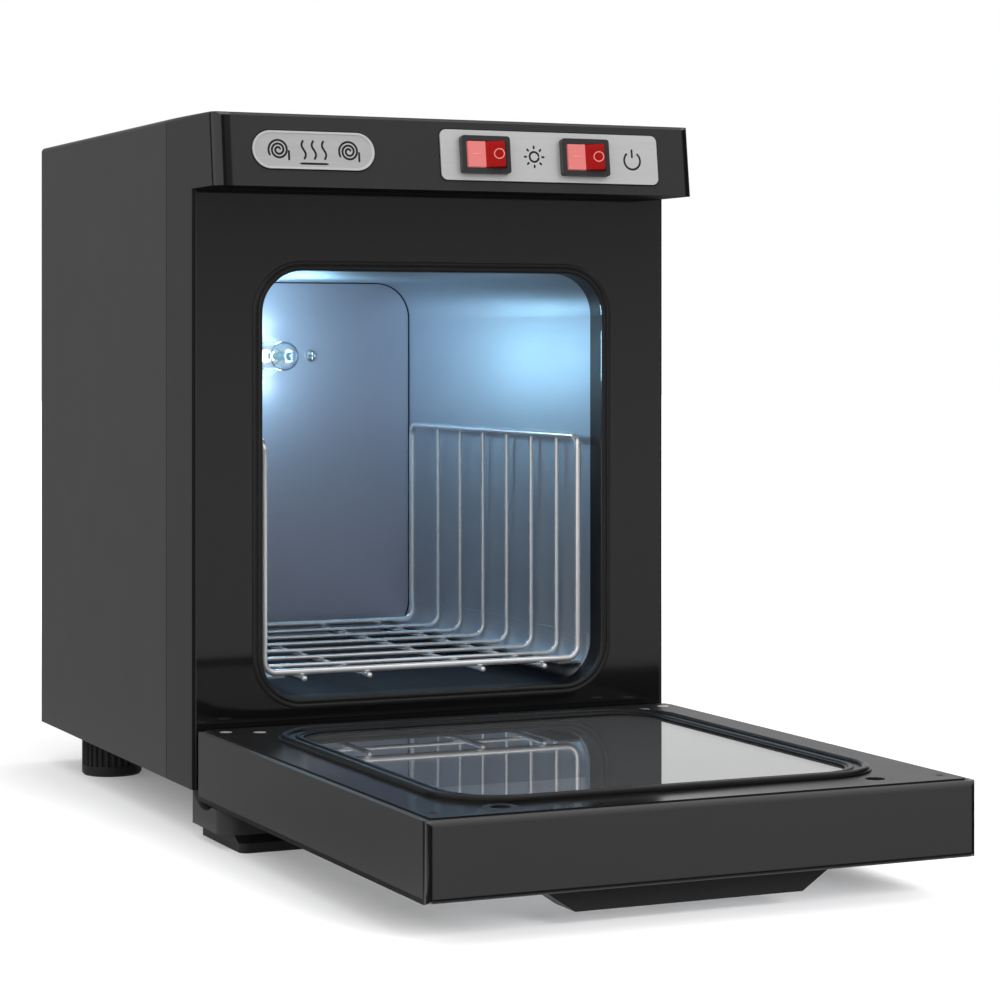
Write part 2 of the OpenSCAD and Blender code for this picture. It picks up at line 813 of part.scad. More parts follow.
// Fibre blanket over the chamber's sides and top
module insulation_blanket() {
    blanket_gap = 0.3;
    inner = liner_t + blanket_gap;
    front = frame_d + lap_d + 2;
    color([0.86, 0.84, 0.78]) in_cabinet() along_depth(front, chamber_d - 2) difference() {
        opening_outline(inner + blanket_t);
        opening_outline(inner);
        translate([-body_w, -cut]) square([2 * body_w, opening_z + opening_r + cut]);
    }
}

// Flat heater pressed against the chamber's floor
module heater_plate() {
    edge_r = 6;
    color([0.55, 0.3, 0.2]) in_cabinet() translate([0, heater_y, heater_low_z]) linear_extrude(heater_t)
        round_rect(heater_w, heater_l, edge_r);
}

// Bimetal thermostat that hangs under the heater, with two blade terminals
module thermostat() {
    cap_r = 8;
    cap_h = 4;
    body_r = 6.5;
    low_h = 9;
    color(metal_colour) in_cabinet() translate([thermostat_x, heater_y, heater_low_z]) {
        translate([0, 0, -cap_h]) cylinder(h = cap_h, r = cap_r);
        translate([0, 0, -low_h]) cylinder(h = low_h - cap_h / 2, r = body_r);
        for (side = [-1, 1]) translate([side * 3.5 - tab_t / 2, -tab_w / 2, -low_h - 5])
            cube([tab_t, tab_w, 6]);
    }
}

// One-shot thermal cut-out in a clamp under the heater
module thermal_cutout() {
    can_r = 2;
    can_l = 12;
    strap_w = 5;
    strap_t = 0.8;
    color(silver_colour) in_cabinet() translate([cutout_x, heater_y, heater_low_z - can_r]) {
        rod_x(-can_l / 2, can_l / 2, can_r);
        translate([-strap_w / 2, -can_r - strap_w, can_r - strap_t])
            cube([strap_w, 2 * (can_r + strap_w), strap_t]);
    }
}

// Boxed lamp driver on the base pan
module lamp_driver() {
    driver_w = 46;
    driver_l = 28;
    driver_h = 15;
    edge_r = 2;
    ear_l = 7;
    ear_h = 2;
    ear_r = 3;
    color([0.9, 0.9, 0.88]) in_cabinet() translate([driver_x, wiring_y, sheet_t]) difference() {
        union() {
            linear_extrude(driver_h) round_rect(driver_w, driver_l, edge_r);
            linear_extrude(ear_h) round_rect(driver_w + 2 * ear_l, driver_l / 2, ear_r);
        }
        both_sides() translate([(driver_w + ear_l) / 2, 0, -cut]) cylinder(h = ear_h + 2 * cut, r = screw_r);
    }
}

// Three-pole terminal block on the base pan
module terminal_block() {
    pole_pitch = 8;
    block_w = 26;
    block_l = 13;
    block_h = 11;
    well_r = 2;
    well_d = 5;
    color([0.92, 0.92, 0.9]) in_cabinet() translate([block_x, wiring_y, sheet_t]) difference() {
        translate([-block_w / 2, -block_l / 2, 0]) cube([block_w, block_l, block_h]);
        for (pole = [-1:1]) translate([pole * pole_pitch, 0, 0]) {
            translate([0, 0, block_h - well_d]) cylinder(h = well_d + cut, r = well_r);
            translate([0, 0, block_h / 3]) rod_y(-block_l, block_l, well_r * 0.8);
        }
    }
}

// Lamp

// Socket with a flange in front of the back plate and ears behind it
module lamp_holder() {
    neck_r = holder_r * 0.8;
    tail = body_d - sheet_t - chamber_d - 2;
    ear_t = 2;
    color([0.93, 0.93, 0.91]) in_lamp() difference() {
        union() {
            cylinder(h = holder_h / 2, r = holder_r);
            cylinder(h = holder_h, r = neck_r);
            translate([0, 0, -tail]) cylinder(h = tail + cut, r = neck_r);
            translate([0, 0, -liner_t - ear_t]) linear_extrude(ear_t)
                round_rect(2 * lamp_screw_x + 4 * screw_r + 6, 2 * neck_r - 2, 3);
        }
        both_sides() translate([lamp_screw_x, 0, -liner_t - ear_t - cut])
            cylinder(h = ear_t + 2 * cut, r = screw_r + fit_gap / 2);
    }
}

// Clear bulb: a straight tube with a domed end and a sealed tip
module lamp_glass() {
    tip_r = 1.8;
    straight = lamp_len - lamp_r;
    color([0.8, 0.9, 1, 0.4]) in_lamp() translate([0, 0, holder_h]) rotate_extrude() difference() {
        intersection() {
            union() {
                square([lamp_r, straight]);
                translate([0, straight]) circle(lamp_r);
                translate([0, lamp_len]) circle(tip_r);
            }
            square([lamp_r, lamp_len + tip_r]);
        }
        translate([-cut, -cut]) square([lamp_r - lamp_wall + cut, straight + cut]);
        translate([0, straight]) circle(lamp_r - lamp_wall);
    }
}

// Glass stem and the glowing electrode on it
module lamp_electrode() {
    stem_r = 3;
    stem_h = 6;
    glow_r = 2;
    color([0.95, 0.98, 1]) in_lamp() translate([0, 0, holder_h]) {
        cylinder(h = stem_h, r1 = stem_r, r2 = glow_r);
        cylinder(h = lamp_len * 0.6, r = glow_r);
        translate([0, 0, lamp_len * 0.6]) sphere(glow_r);
    }
}

module lamp_screws() {
    color(metal_colour) in_lamp() both_sides() translate([lamp_screw_x, 0, 0]) pan_screw(lamp_screw_len);
}

// Basket

// Ledge strips on the chamber's side walls, each with a leg that follows the rounded corner
module basket_rails() {
    front = collar_d + rail_front_gap;
    back = chamber_d - rail_back_gap;
    color(metal_colour) in_cabinet() both_sides() along_depth(front, back) intersection() {
        union() {
            translate([opening_w / 2 - rail_w, rail_top_z - rail_t]) square([rail_w + cut, rail_t]);
            difference() {
                translate([opening_w / 2 - rail_w, rail_top_z - rail_t])
                    square([rail_w + cut, rail_leg_h + rail_t]);
                opening_outline(-rail_t - fit_gap / 2);
            }
        }
        opening_outline(-fit_gap / 2);
    }
}

// One front corner of the bent frame: half the lower rail, the post and half the upper rail
module basket_corner() {
    mid_y = (basket_front + basket_back) / 2;
    post_low = basket_low_z + wire_bend_r;
    post_top = basket_top_z - wire_bend_r;
    translate([0, basket_front, basket_low_z]) rod_x(0, basket_x - wire_bend_r, frame_wire_r);
    translate([basket_x - wire_bend_r, basket_front, post_low]) rotate([90, 0, 0]) rotate([0, 0, -90])
        wire_bend(wire_bend_r, frame_wire_r);
    translate([basket_x, basket_front, post_low]) cylinder(h = post_top - post_low, r = frame_wire_r);
    translate([basket_x, basket_front + wire_bend_r, post_top]) rotate([90, 0, 90]) rotate([0, 0, 90])
        wire_bend(wire_bend_r, frame_wire_r);
    translate([basket_x, 0, basket_top_z]) rod_y(basket_front + wire_bend_r, mid_y, frame_wire_r);
}

// Closed loop of heavy wire: front and rear U joined by the upper side rails
module basket_frame() {
    mid_y = (basket_front + basket_back) / 2;
    color(metal_colour) in_cabinet() both_sides() {
        basket_corner();
        translate([0, 2 * mid_y, 0]) mirror([0, 1, 0]) basket_corner();
    }
}

// U-shaped wires that make the basket's floor and sides, welded outside the upper rails
module basket_cross_wires() {
    bend_x = cross_x - wire_bend_r;
    color(metal_colour) in_cabinet() for (i = [1:cross_wires])
        translate([0, basket_front + i * cross_pitch, cross_z]) both_sides() {
            rod_x(0, bend_x, cross_wire_r);
            translate([bend_x, 0, wire_bend_r]) rotate([90, 0, 0]) rotate([0, 0, -90])
                wire_bend(wire_bend_r, cross_wire_r);
            translate([cross_x, 0, wire_bend_r])
                cylinder(h = basket_top_z - cross_z - wire_bend_r, r = cross_wire_r);
        }
}

// Straight round-ended wires that run front to back under the cross wires
module basket_runners() {
    overhang = 2;
    color(metal_colour) in_cabinet() both_sides() for (x = [runner_inner_x, runner_outer_x])
        translate([x, 0, runner_z]) {
            rod_y(basket_front - overhang, basket_back + overhang, runner_r);
            for (y = [basket_front - overhang, basket_back + overhang]) translate([0, y, 0]) sphere(runner_r);
        }
}

// Door

// Outer block of the door with round upright corners and round long edges
module door_block() {
    intersection() {
        translate([0, door_len / 2, -door_t]) linear_extrude(rim_t)
            round_rect(body_w, door_len, door_corner_r);
        across(-side_x, side_x) translate([door_len / 2, -door_t + rim_t / 2])
            round_rect(door_len, rim_t, door_edge_r);
    }
}

// Place of the window's middle on the door
module at_window(z) {
    translate([0, gasket_mid, z]) children();
}

// Room in the door's hinge corner for the bracket's ear through the whole swing
module hinge_notch() {
    translate([ear_x - notch_w / 2, 0, 0]) {
        translate([0, pin_inset, -pin_depth]) rod_x(0, notch_w, notch_r);
        translate([0, -cut, -door_t - cut]) {
            cube([notch_w, pin_inset + cut, door_t + cut - pin_depth + notch_r]);
            cube([notch_w, pin_inset + cut + notch_r, door_t + cut - pin_depth]);
        }
    }
}

// Moulded tray with a window, a sill that carries the glass, bosses and hinge corners
module door_shell() {
    boss_top = -panel_t;
    floor_z = wall_t - door_t;
    color(casing_colour) in_door() difference() {
        union() {
            difference() {
                door_block();
                translate([0, door_len / 2, floor_z]) linear_extrude(door_t)
                    round_rect(body_w - 2 * wall_t, door_len - 2 * wall_t, door_corner_r - wall_t + 1);
            }
            at_window(floor_z - cut) linear_extrude(-glass_t - floor_z + cut)
                round_rect(window_w + 2 * sill_t, window_l + 2 * sill_t, window_r + sill_t);
            both_sides() {
                translate([side_x - hinge_block_w, wall_t / 2, floor_z - cut])
                    cube([hinge_block_w - wall_t / 2, hinge_block_l, boss_top - floor_z + cut]);
                for (s = panel_screws) translate([side_x - s[0], s[1], floor_z - cut])
                    cylinder(h = boss_top - floor_z + cut, r = boss_r);
                translate([magnet_x, magnet_y, floor_z - cut])
                    cylinder(h = -magnet_t - floor_z + cut, r = magnet_r + 1);
            }
        }
        at_window(-door_t - cut) linear_extrude(door_t + 2 * cut) round_rect(window_w, window_l, window_r);
        both_sides() {
            hinge_notch();
            translate([0, pin_inset, -pin_depth])
                rod_x(pin_near_x - fit_gap, pin_far_x + fit_gap, pin_r + run_gap / 2);
            for (s = panel_screws) translate([side_x - s[0], s[1], -panel_screw_len - cut])
                cylinder(h = panel_screw_len + cut, r = panel_screw_r + fit_gap);
            translate([handle_screw_x, handle_screw_y, -door_t - cut])
                cylinder(h = wall_t + 2 * cut, r = screw_r + fit_gap);
        }
    }
}

// Glossy inner panel that clamps the glass and holds the magnets
module door_panel() {
    inset = wall_t + 0.3;
    color(gloss_colour) in_door() difference() {
        translate([0, door_len / 2, -panel_t]) linear_extrude(panel_t)
            round_rect(body_w - 2 * inset, door_len - 2 * inset, door_corner_r / 2);
        at_window(-panel_t - cut) linear_extrude(panel_t + 2 * cut)
            round_rect(pane_w + 2 * fit_gap, pane_l + 2 * fit_gap, pane_r + fit_gap);
        both_sides() {
            translate([magnet_x, magnet_y, -panel_t - cut])
                cylinder(h = panel_t + 2 * cut, r = magnet_r + fit_gap);
            for (s = panel_screws) translate([side_x - s[0], s[1], 0]) {
                translate([0, 0, -panel_t - cut])
                    cylinder(h = panel_t + 2 * cut, r = panel_screw_r + fit_gap);
                translate([0, 0, -screw_head_h])
                    cylinder(h = screw_head_h, r1 = panel_screw_r + fit_gap, r2 = panel_head_r + fit_gap);
            }
        }
    }
}

// Tinted pane that lies on the shell's sill, flush with the inner panel
module door_glass() {
    color([0.2, 0.22, 0.24, 0.6]) in_door() at_window(-glass_t) linear_extrude(glass_t)
        round_rect(pane_w, pane_l, pane_r);
}

// Rubber seal with a tall outer bead and a low inner bead
module door_gasket() {
    color(rubber_colour) in_door() at_window(0)
        ring_sweep(gasket_out_w, gasket_out_l, gasket_out_r) {
            translate([-gasket_w, 0]) square([gasket_w, gasket_base_h]);
            translate([-gasket_bead_r - 0.6, 0]) bead(gasket_bead_r, gasket_h);
            translate([gasket_low_bead_r + 0.8 - gasket_w, 0]) bead(gasket_low_bead_r, gasket_low_bead_h);
        }
}

// Round catch magnets with a well in the middle, flush with the inner panel
module door_magnets() {
    color([0.35, 0.35, 0.36]) in_door() both_sides() translate([magnet_x, magnet_y, 0]) difference() {
        translate([0, 0, -magnet_t]) cylinder(h = magnet_t, r = magnet_r);
        translate([0, 0, -magnet_well_d]) cylinder(h = magnet_well_d + cut, r = magnet_well_r);
    }
}

// Countersunk screws that hold the inner panel to the shell
module door_screws() {
    color(metal_colour) in_door() both_sides() for (s = panel_screws)
        translate([side_x - s[0], s[1], 0]) difference() {
            union() {
                translate([0, 0, -screw_head_h])
                    cylinder(h = screw_head_h, r1 = panel_screw_r, r2 = panel_head_r);
                translate([0, 0, -panel_screw_len])
                    cylinder(h = panel_screw_len - screw_head_h / 2, r = panel_screw_r);
            }
            cross_recess(panel_head_r, screw_head_h / 2);
        }
}

// Tapered grip on the outer face, hollow on the side towards the hinges
module door_handle() {
    color(casing_colour) in_door() difference() {
        translate([0, handle_y, -door_t]) rotate([-90, 0, 0]) linear_extrude(handle_deep)
            polygon([[-handle_root_w / 2, 0], [handle_root_w / 2, 0],
                [handle_face_w / 2, handle_out], [-handle_face_w / 2, handle_out]]);
        translate([-pocket_w / 2, handle_y - cut, -door_t - handle_out + grip_t])
            cube([pocket_w, pocket_d + cut, handle_out]);
        both_sides() translate([handle_screw_x, handle_screw_y, -door_t - handle_screw_in - fit_gap])
            cylinder(h = handle_screw_in + cut, r = screw_r + fit_gap / 2);
    }
}

module handle_screws() {
    color(metal_colour) in_door() both_sides()
        translate([handle_screw_x, handle_screw_y, wall_t - door_t]) pan_screw(wall_t + handle_screw_in);
}

module hinge_pins() {
    color(metal_colour) in_door() both_sides() translate([0, pin_inset, -pin_depth])
        rod_x(pin_near_x, pin_far_x, pin_r);
}

// Hinges and feet

// Right-hand bracket: rest for the open door with a trough for its corner, an upstand behind the trough that
// meets the casing's underside, the hinge ear and a tongue under the casing
module hinge_bracket() {
    tongue_x = side_x - tongue_inset - tongue_w;
    color(casing_colour) difference() {
        union() {
            difference() {
                union() {
                    translate([side_x - bracket_w, -bracket_front, bracket_bottom])
                        linear_extrude(bracket_top - bracket_bottom) difference() {
                            square([bracket_w, bracket_front]);
                            translate([bracket_w - bracket_r, 0]) difference() {
                                translate([0, -cut]) square([bracket_r + cut, bracket_r + cut]);
                                translate([0, bracket_r]) circle(bracket_r);
                            }
                        }
                    translate([side_x - bracket_w, -hinge_gap, bracket_bottom])
                        cube([bracket_w, hinge_gap, -bracket_bottom]);
                }
                translate([side_x - bracket_w - cut, pin_y, pin_z]) rod_x(0, bracket_w + 2 * cut, sweep_r);
            }
            translate([tongue_x, 0, -tongue_t]) cube([tongue_w, tongue_l, tongue_t]);
            translate([tongue_x, -3 * cut, -tongue_t]) cube([tongue_w, 4 * cut, tongue_t + bracket_top]);
            translate([ear_x - ear_t / 2, pin_y, pin_z]) rod_x(0, ear_t, ear_r);
            translate([ear_x - ear_t / 2, pin_y - ear_r, pin_z - sweep_r - 2 * cut])
                cube([ear_t, 2 * ear_r, sweep_r + 2 * cut]);
        }
        translate([0, pin_y, pin_z]) rod_x(ear_x - ear_t, ear_x + ear_t, pin_r + run_gap);
        for (y = bracket_screw_y) translate([bracket_screw_x, y, -tongue_t]) {
            translate([0, 0, -cut]) cylinder(h = screw_head_h + 2 * cut, r = screw_head_r + 4 * fit_gap);
            cylinder(h = stand_h, r = screw_r + fit_gap);
        }
    }
}

module hinge_bracket_left() {
    in_cabinet() mirror([1, 0, 0]) hinge_bracket();
}

module hinge_bracket_right() {
    in_cabinet() hinge_bracket();
}

// Screws from under each bracket into the moulded front
module bracket_screws() {
    head_z = screw_head_h + cut - tongue_t;
    color(metal_colour) in_cabinet() both_sides() for (y = bracket_screw_y)
        translate([bracket_screw_x, y, head_z]) rotate([180, 0, 0])
            pan_screw(bracket_boss_h - 2 * cut - head_z);
}

// Right-hand rubber pad under a bracket, bevelled down to its front edge
module front_foot() {
    pad_x0 = side_x - bracket_w + pad_inset / 2;
    pad_x1 = side_x - pad_inset;
    edge_y = -bracket_front - pad_front;
    corner_r = 3.5;
    color(rubber_colour) translate([0, 0, -stand_h]) intersection() {
        across(pad_x0, pad_x1) polygon([[edge_y, 0], [pad_back, 0], [pad_back, pad_t],
            [-bracket_front, pad_t], [edge_y + corner_r, pad_edge_h], [edge_y, pad_edge_h]]);
        translate([(pad_x0 + pad_x1) / 2, (edge_y + pad_back) / 2, -cut]) linear_extrude(pad_t + 2 * cut)
            round_rect(pad_x1 - pad_x0, pad_back - edge_y, corner_r);
    }
}

module front_foot_left() {
    in_cabinet() mirror([1, 0, 0]) front_foot();
}

module front_foot_right() {
    in_cabinet() front_foot();
}

// Round foot with upright ribs over a smooth ring, hollow underneath for its screw
module rear_foot(side) {
    core_r = foot_r - foot_rib_r;
    chamfer = 1;
    color(rubber_colour) in_cabinet() translate([side * foot_x, foot_y, -stand_h]) difference() {
        union() {
            cylinder(h = stand_h, r = core_r);
            translate([0, 0, chamfer]) cylinder(h = foot_ring_h - chamfer, r = foot_r);
            cylinder(h = chamfer, r1 = foot_r - chamfer, r2 = foot_r);
            for (i = [0:foot_ribs - 1]) rotate([0, 0, 360 * i / foot_ribs])
                translate([core_r, 0, foot_ring_h / 2])
                    cylinder(h = stand_h - foot_ring_h / 2 - chamfer, r = foot_rib_r);
        }
        translate([0, 0, -cut]) cylinder(h = foot_well_d + cut, r = foot_well_r);
        cylinder(h = stand_h + cut, r = foot_screw_r + fit_gap);
    }
}

module rear_foot_left() {
    rear_foot(-1);
}

module rear_foot_right() {
    rear_foot(1);
}

// Screws up through the rear feet into the base pan
module foot_screws() {
    color(metal_colour) in_cabinet() both_sides() translate([foot_x, foot_y, foot_well_d - stand_h])
        rotate([180, 0, 0]) pan_screw(stand_h - foot_well_d + sheet_t + 4, foot_screw_r, foot_screw_head_r,
            foot_screw_head_h);
}

// Steel discs behind the front plate that the magnets pull on
module strike_plates() {
    color(metal_colour) in_cabinet() both_sides() translate([magnet_x, 0, strike_z])
        rod_y(wall_t, wall_t + strike_t, strike_r);
}

// Round gland for the mains lead, with its flange outside the rear panel
module cord_gland() {
    color(rubber_colour) in_cabinet() translate([gland_x, body_d, gland_z]) rotate([-90, 0, 0]) difference() {
        union() {
            cylinder(h = gland_flange_t, r = gland_flange_r);
            translate([0, 0, gland_flange_t - cut])
                cylinder(h = gland_out - gland_flange_t + cut, r1 = gland_neck_r + 1, r2 = gland_neck_r);
            translate([0, 0, -gland_tail]) cylinder(h = gland_tail + cut, r = gland_neck_r);
        }
        translate([0, 0, -gland_tail - cut]) cylinder(h = gland_tail + gland_out + 2 * cut, r = gland_bore_r);
    }
}

// Screws that hold the rear panel to the casing's flanges
module case_screws() {
    color(metal_colour) in_cabinet() for (z = case_screw_z) both_sides()
        translate([case_screw_x, body_d, z]) rotate([-90, 0, 0]) pan_screw(case_screw_len);
}

case_wrap();
rear_panel();
base_pan();
front_frame();
opening_trim();
badge_plate();
switch_plate();
uv_switch_housing();
power_switch_housing();
switch_terminals();
uv_rocker();
power_rocker();
chamber_liner();
chamber_back_plate();
insulation_blanket();
heater_plate();
thermostat();
thermal_cutout();
lamp_driver();
terminal_block();
lamp_holder();
lamp_glass();
lamp_electrode();
lamp_screws();
basket_rails();
basket_frame();
basket_cross_wires();
basket_runners();
door_shell();
door_panel();
door_glass();
door_gasket();
door_magnets();
door_screws();
door_handle();
handle_screws();
hinge_pins();
hinge_bracket_left();
hinge_bracket_right();
bracket_screws();
front_foot_left();
front_foot_right();
rear_foot_left();
rear_foot_right();
foot_screws();
strike_plates();
cord_gland();
case_screws();
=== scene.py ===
"""Looks of a small warming cabinet with its door open.

The camera and the studio come first, then each piece in the order of assembly.
"""

import json

import bpy
import numpy as np
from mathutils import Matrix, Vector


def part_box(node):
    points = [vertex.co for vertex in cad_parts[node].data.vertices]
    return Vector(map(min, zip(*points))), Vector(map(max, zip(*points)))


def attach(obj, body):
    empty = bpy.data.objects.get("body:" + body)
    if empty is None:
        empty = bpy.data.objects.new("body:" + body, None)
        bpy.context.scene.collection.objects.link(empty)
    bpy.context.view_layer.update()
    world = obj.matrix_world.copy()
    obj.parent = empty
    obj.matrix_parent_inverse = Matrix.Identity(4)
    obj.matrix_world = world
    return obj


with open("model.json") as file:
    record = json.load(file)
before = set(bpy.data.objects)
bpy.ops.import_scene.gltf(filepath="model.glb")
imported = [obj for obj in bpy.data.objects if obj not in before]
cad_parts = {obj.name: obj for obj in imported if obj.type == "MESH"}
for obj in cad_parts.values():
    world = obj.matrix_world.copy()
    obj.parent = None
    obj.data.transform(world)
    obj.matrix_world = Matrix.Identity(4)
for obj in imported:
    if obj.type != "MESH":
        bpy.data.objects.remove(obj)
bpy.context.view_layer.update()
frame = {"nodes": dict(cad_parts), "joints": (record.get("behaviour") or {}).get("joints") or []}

# Camera: a long lens held level, in front and to the left of the cabinet, about as high as the lamp's bulb.
# The picture is taken below the lens's axis, so upright edges stay upright.
camera = bpy.data.objects.new("camera", bpy.data.cameras.new("camera"))
camera.data.lens = 102.09
camera.data.sensor_width = 36.0
camera.data.shift_y = -0.1584
camera.location = (-0.44947, -1.05069, 0.19254)
camera.rotation_euler = np.radians((90.0, 0.0, -24.388))
bpy.context.scene.collection.objects.link(camera)
bpy.context.scene.camera = camera


# Studio: a white paper floor with its own lamp, an even white dome, soft lamps overhead and at the left.
# Cards that only gloss shows stand round the part and lie on the floor. Dark ones are beside the camera, at
# the far left, at the right and round the door, and grey ones fill in between.
class Shade:
    """Output of a new node in a node tree. Operators between shades and numbers add Math nodes."""

    def __init__(self, tree, kind, settings=None, values=None, output=0):
        """Adds a node: its settings first, then its inputs' values or links. Keeps one output."""
        node = tree.nodes.new(kind)
        for name, value in (settings or {}).items():
            setattr(node, name, value)
        for name, value in (values or {}).items():
            if isinstance(value, Shade):
                tree.links.new(value.socket, node.inputs[name])
            else:
                node.inputs[name].default_value = value
        self.tree = tree
        self.socket = node.outputs[output]

    def math(self, operation, *values):
        """Math node with this operation between the values."""
        return Shade(self.tree, "ShaderNodeMath", {"operation": operation}, dict(enumerate(values)))

    def __add__(self, other):
        return self.math("ADD", self, other)

    def __sub__(self, other):
        return self.math("SUBTRACT", self, other)

    def __rsub__(self, other):
        return self.math("SUBTRACT", other, self)

    def __mul__(self, other):
        return self.math("MULTIPLY", self, other)

    def __pow__(self, power):
        return self.math("POWER", self, power)

    def __abs__(self):
        return self.math("ABSOLUTE", self)

    def __gt__(self, other):
        return self.math("GREATER_THAN", self, other)

    def __lt__(self, other):
        return self.math("LESS_THAN", self, other)

    __radd__ = __add__
    __rmul__ = __mul__

    def at_least(self, other):
        """The larger of the two."""
        return self.math("MAXIMUM", self, other)


class Finish:
    """A material with one Principled shader. Plain values are set on the shader's own sockets."""

    def __init__(self, name, plain):
        self.material = bpy.data.materials.new(name)
        self.material.use_nodes = True
        self.tree = self.material.node_tree
        self.shader = self.tree.nodes["Principled BSDF"]
        for socket, value in plain.items():
            self.shader.inputs[socket].default_value = value
        self.place = Shade(self.tree, "ShaderNodeTexCoord", output="Object")
        self.fed = {}

    def axis(self, letter):
        """Place on the object along x, y or z, in metres."""
        return Shade(self.tree, "ShaderNodeSeparateXYZ", {}, {0: self.place}, letter)

    def along(self, direction, origin):
        """Distance from the origin along a direction, in metres."""
        reach = Shade(self.tree, "ShaderNodeVectorMath", {"operation": "DOT_PRODUCT"},
                      {0: self.place, 1: tuple(direction)}, "Value")
        return reach - float(np.dot(origin, direction))

    def noise(self, scale, detail=2.0, stretch=(1.0, 1.0, 1.0)):
        """Noise from 0 to 1 with `scale` bumps to the metre, drawn out along the axes by `stretch`."""
        spread = Shade(self.tree, "ShaderNodeVectorMath", {"operation": "MULTIPLY"},
                       {0: self.place, 1: tuple(1.0 / s for s in stretch)})
        return Shade(self.tree, "ShaderNodeTexNoise", {},
                     {"Vector": spread, "Scale": scale, "Detail": detail})

    def step(self, value, start, end):
        """Smooth step from 0 at start to 1 at end, which may also lie below start."""
        return Shade(self.tree, "ShaderNodeMapRange", {"interpolation_type": "SMOOTHSTEP"},
                     {"Value": value, "From Min": start, "From Max": end})

    def mix(self, share, first, second):
        """Colour that goes from the first to the second as share goes from 0 to 1."""
        return Shade(self.tree, "ShaderNodeMix", {"data_type": "RGBA"}, {0: share, 6: first, 7: second}, 2)

    def feed(self, socket, shade):
        """Links a shade to one of the shader's sockets and remembers it."""
        self.tree.links.new(shade.socket, self.shader.inputs[socket])
        self.fed[socket] = shade

    def colour(self, first, second, scale, detail=2.0):
        """Colour that drifts between two tones with the noise."""
        self.feed("Base Color", self.mix(self.noise(scale, detail), first, second))

    def cover(self, mask, colour):
        """Lays a colour over the one so far where the mask is 1."""
        self.feed("Base Color", self.mix(mask, self.fed["Base Color"], colour))

    def roughness(self, least, swing, scale):
        """Roughness that drifts from least to least + swing with the noise."""
        self.feed("Roughness", least + swing * self.noise(scale))

    def relief(self, height, depth):
        """Bump: `height` from 0 to 1 stands for up to `depth` metres."""
        self.feed("Normal", Shade(self.tree, "ShaderNodeBump", {}, {"Height": height, "Distance": depth}))

    def put_on(self, *names):
        """Gives the material to nodes of the part."""
        for name in names:
            mesh = frame["nodes"][name].data
            mesh.materials.clear()
            mesh.materials.append(self.material)


def grey(level):
    """Neutral colour with a trace of blue."""
    return (level, level, level * 1.01, 1.0)


def seen_directly(tree):
    """1 for rays from the camera and for what gloss and glass show.
    0 for rays that carry light to a surface."""
    kinds = ("Is Camera Ray", "Is Glossy Ray", "Is Transmission Ray")
    straight, mirrored, through_glass = (Shade(tree, "ShaderNodeLightPath", output=kind) for kind in kinds)
    return straight.at_least(mirrored).at_least(through_glass)


def sheet_object(name, grids, closed=False):
    """Mesh object from grids of points, each shaped (rows, columns, 3): every cell becomes one quad.
    With closed, the last row of a grid joins its first row."""
    quads = []
    start = 0
    for grid in grids:
        index = start + np.arange(grid.shape[0] * grid.shape[1]).reshape(grid.shape[:2])
        start += index.size
        if closed:
            index = np.concatenate([index, index[:1]])
        corners = (index[:-1, :-1], index[1:, :-1], index[1:, 1:], index[:-1, 1:])
        quads.append(np.stack(corners, axis=-1).reshape(-1, 4))
    mesh = bpy.data.meshes.new(name)
    mesh.from_pydata(np.concatenate([grid.reshape(-1, 3) for grid in grids]), [], np.concatenate(quads))
    mesh.polygons.foreach_set("use_smooth", np.ones(len(mesh.polygons), dtype=bool))
    made = bpy.data.objects.new(name, mesh)
    bpy.context.scene.collection.objects.link(made)
    return made


def stage_sheet(name, corner, along, up, finish):
    """Flat sheet of the studio: corner + s * along + t * up, with s and t from 0 to 1."""
    share = np.linspace(0.0, 1.0, 9)
    s, t = np.meshgrid(share, share, indexing="ij")
    points = np.array(corner) + s[..., None] * np.array(along) + t[..., None] * np.array(up)
    made = sheet_object(name, [points])
    made.data.materials.append(finish.material)
    return made


CARD_FADE_HEIGHT = 0.5


def card(name, corner, along, up, lit, lit_above):
    """Matt black card that shines by itself: as `lit` on the floor, as `lit_above` from the fade height on.
    Only gloss shows it: it takes no light from the part and isn't seen through glass."""
    cloth = Finish(name, {"Base Color": grey(0.02), "Roughness": 1.0, "Specular IOR Level": 0.0,
                          "Emission Strength": 1.0})
    high = cloth.step(cloth.axis("Z"), 0.0, CARD_FADE_HEIGHT)
    cloth.feed("Emission Color", cloth.mix(high, grey(lit), grey(lit_above)))
    made = stage_sheet(name, corner, along, up, cloth)
    made.visible_camera = False
    made.visible_diffuse = False
    made.visible_transmission = False
    made.visible_shadow = False


def upright_card(name, start, end, heights, lit, lit_above):
    """Card that stands from one x and y to another, between two heights."""
    along = (end[0] - start[0], end[1] - start[1], 0.0)
    card(name, (*start, heights[0]), along, (0.0, 0.0, heights[1] - heights[0]), lit, lit_above)


def floor_card(name, x_ends, y_ends, rise, lit):
    """Card that lies flat, a little above the floor."""
    along = (x_ends[1] - x_ends[0], 0.0, 0.0)
    deep = (0.0, y_ends[1] - y_ends[0], 0.0)
    card(name, (x_ends[0], y_ends[0], rise), along, deep, lit, lit)


def soft_lamp(name, place, turn, size, power):
    """Square area lamp that shines along its own -z, turned by degrees about x, y and z."""
    lamp = bpy.data.objects.new(name, bpy.data.lights.new(name, "AREA"))
    lamp.data.shape = "SQUARE"
    lamp.data.size = size
    lamp.data.energy = power
    lamp.location = place
    lamp.rotation_euler = np.radians(turn)
    lamp.visible_camera = False
    bpy.context.scene.collection.objects.link(lamp)
    return lamp


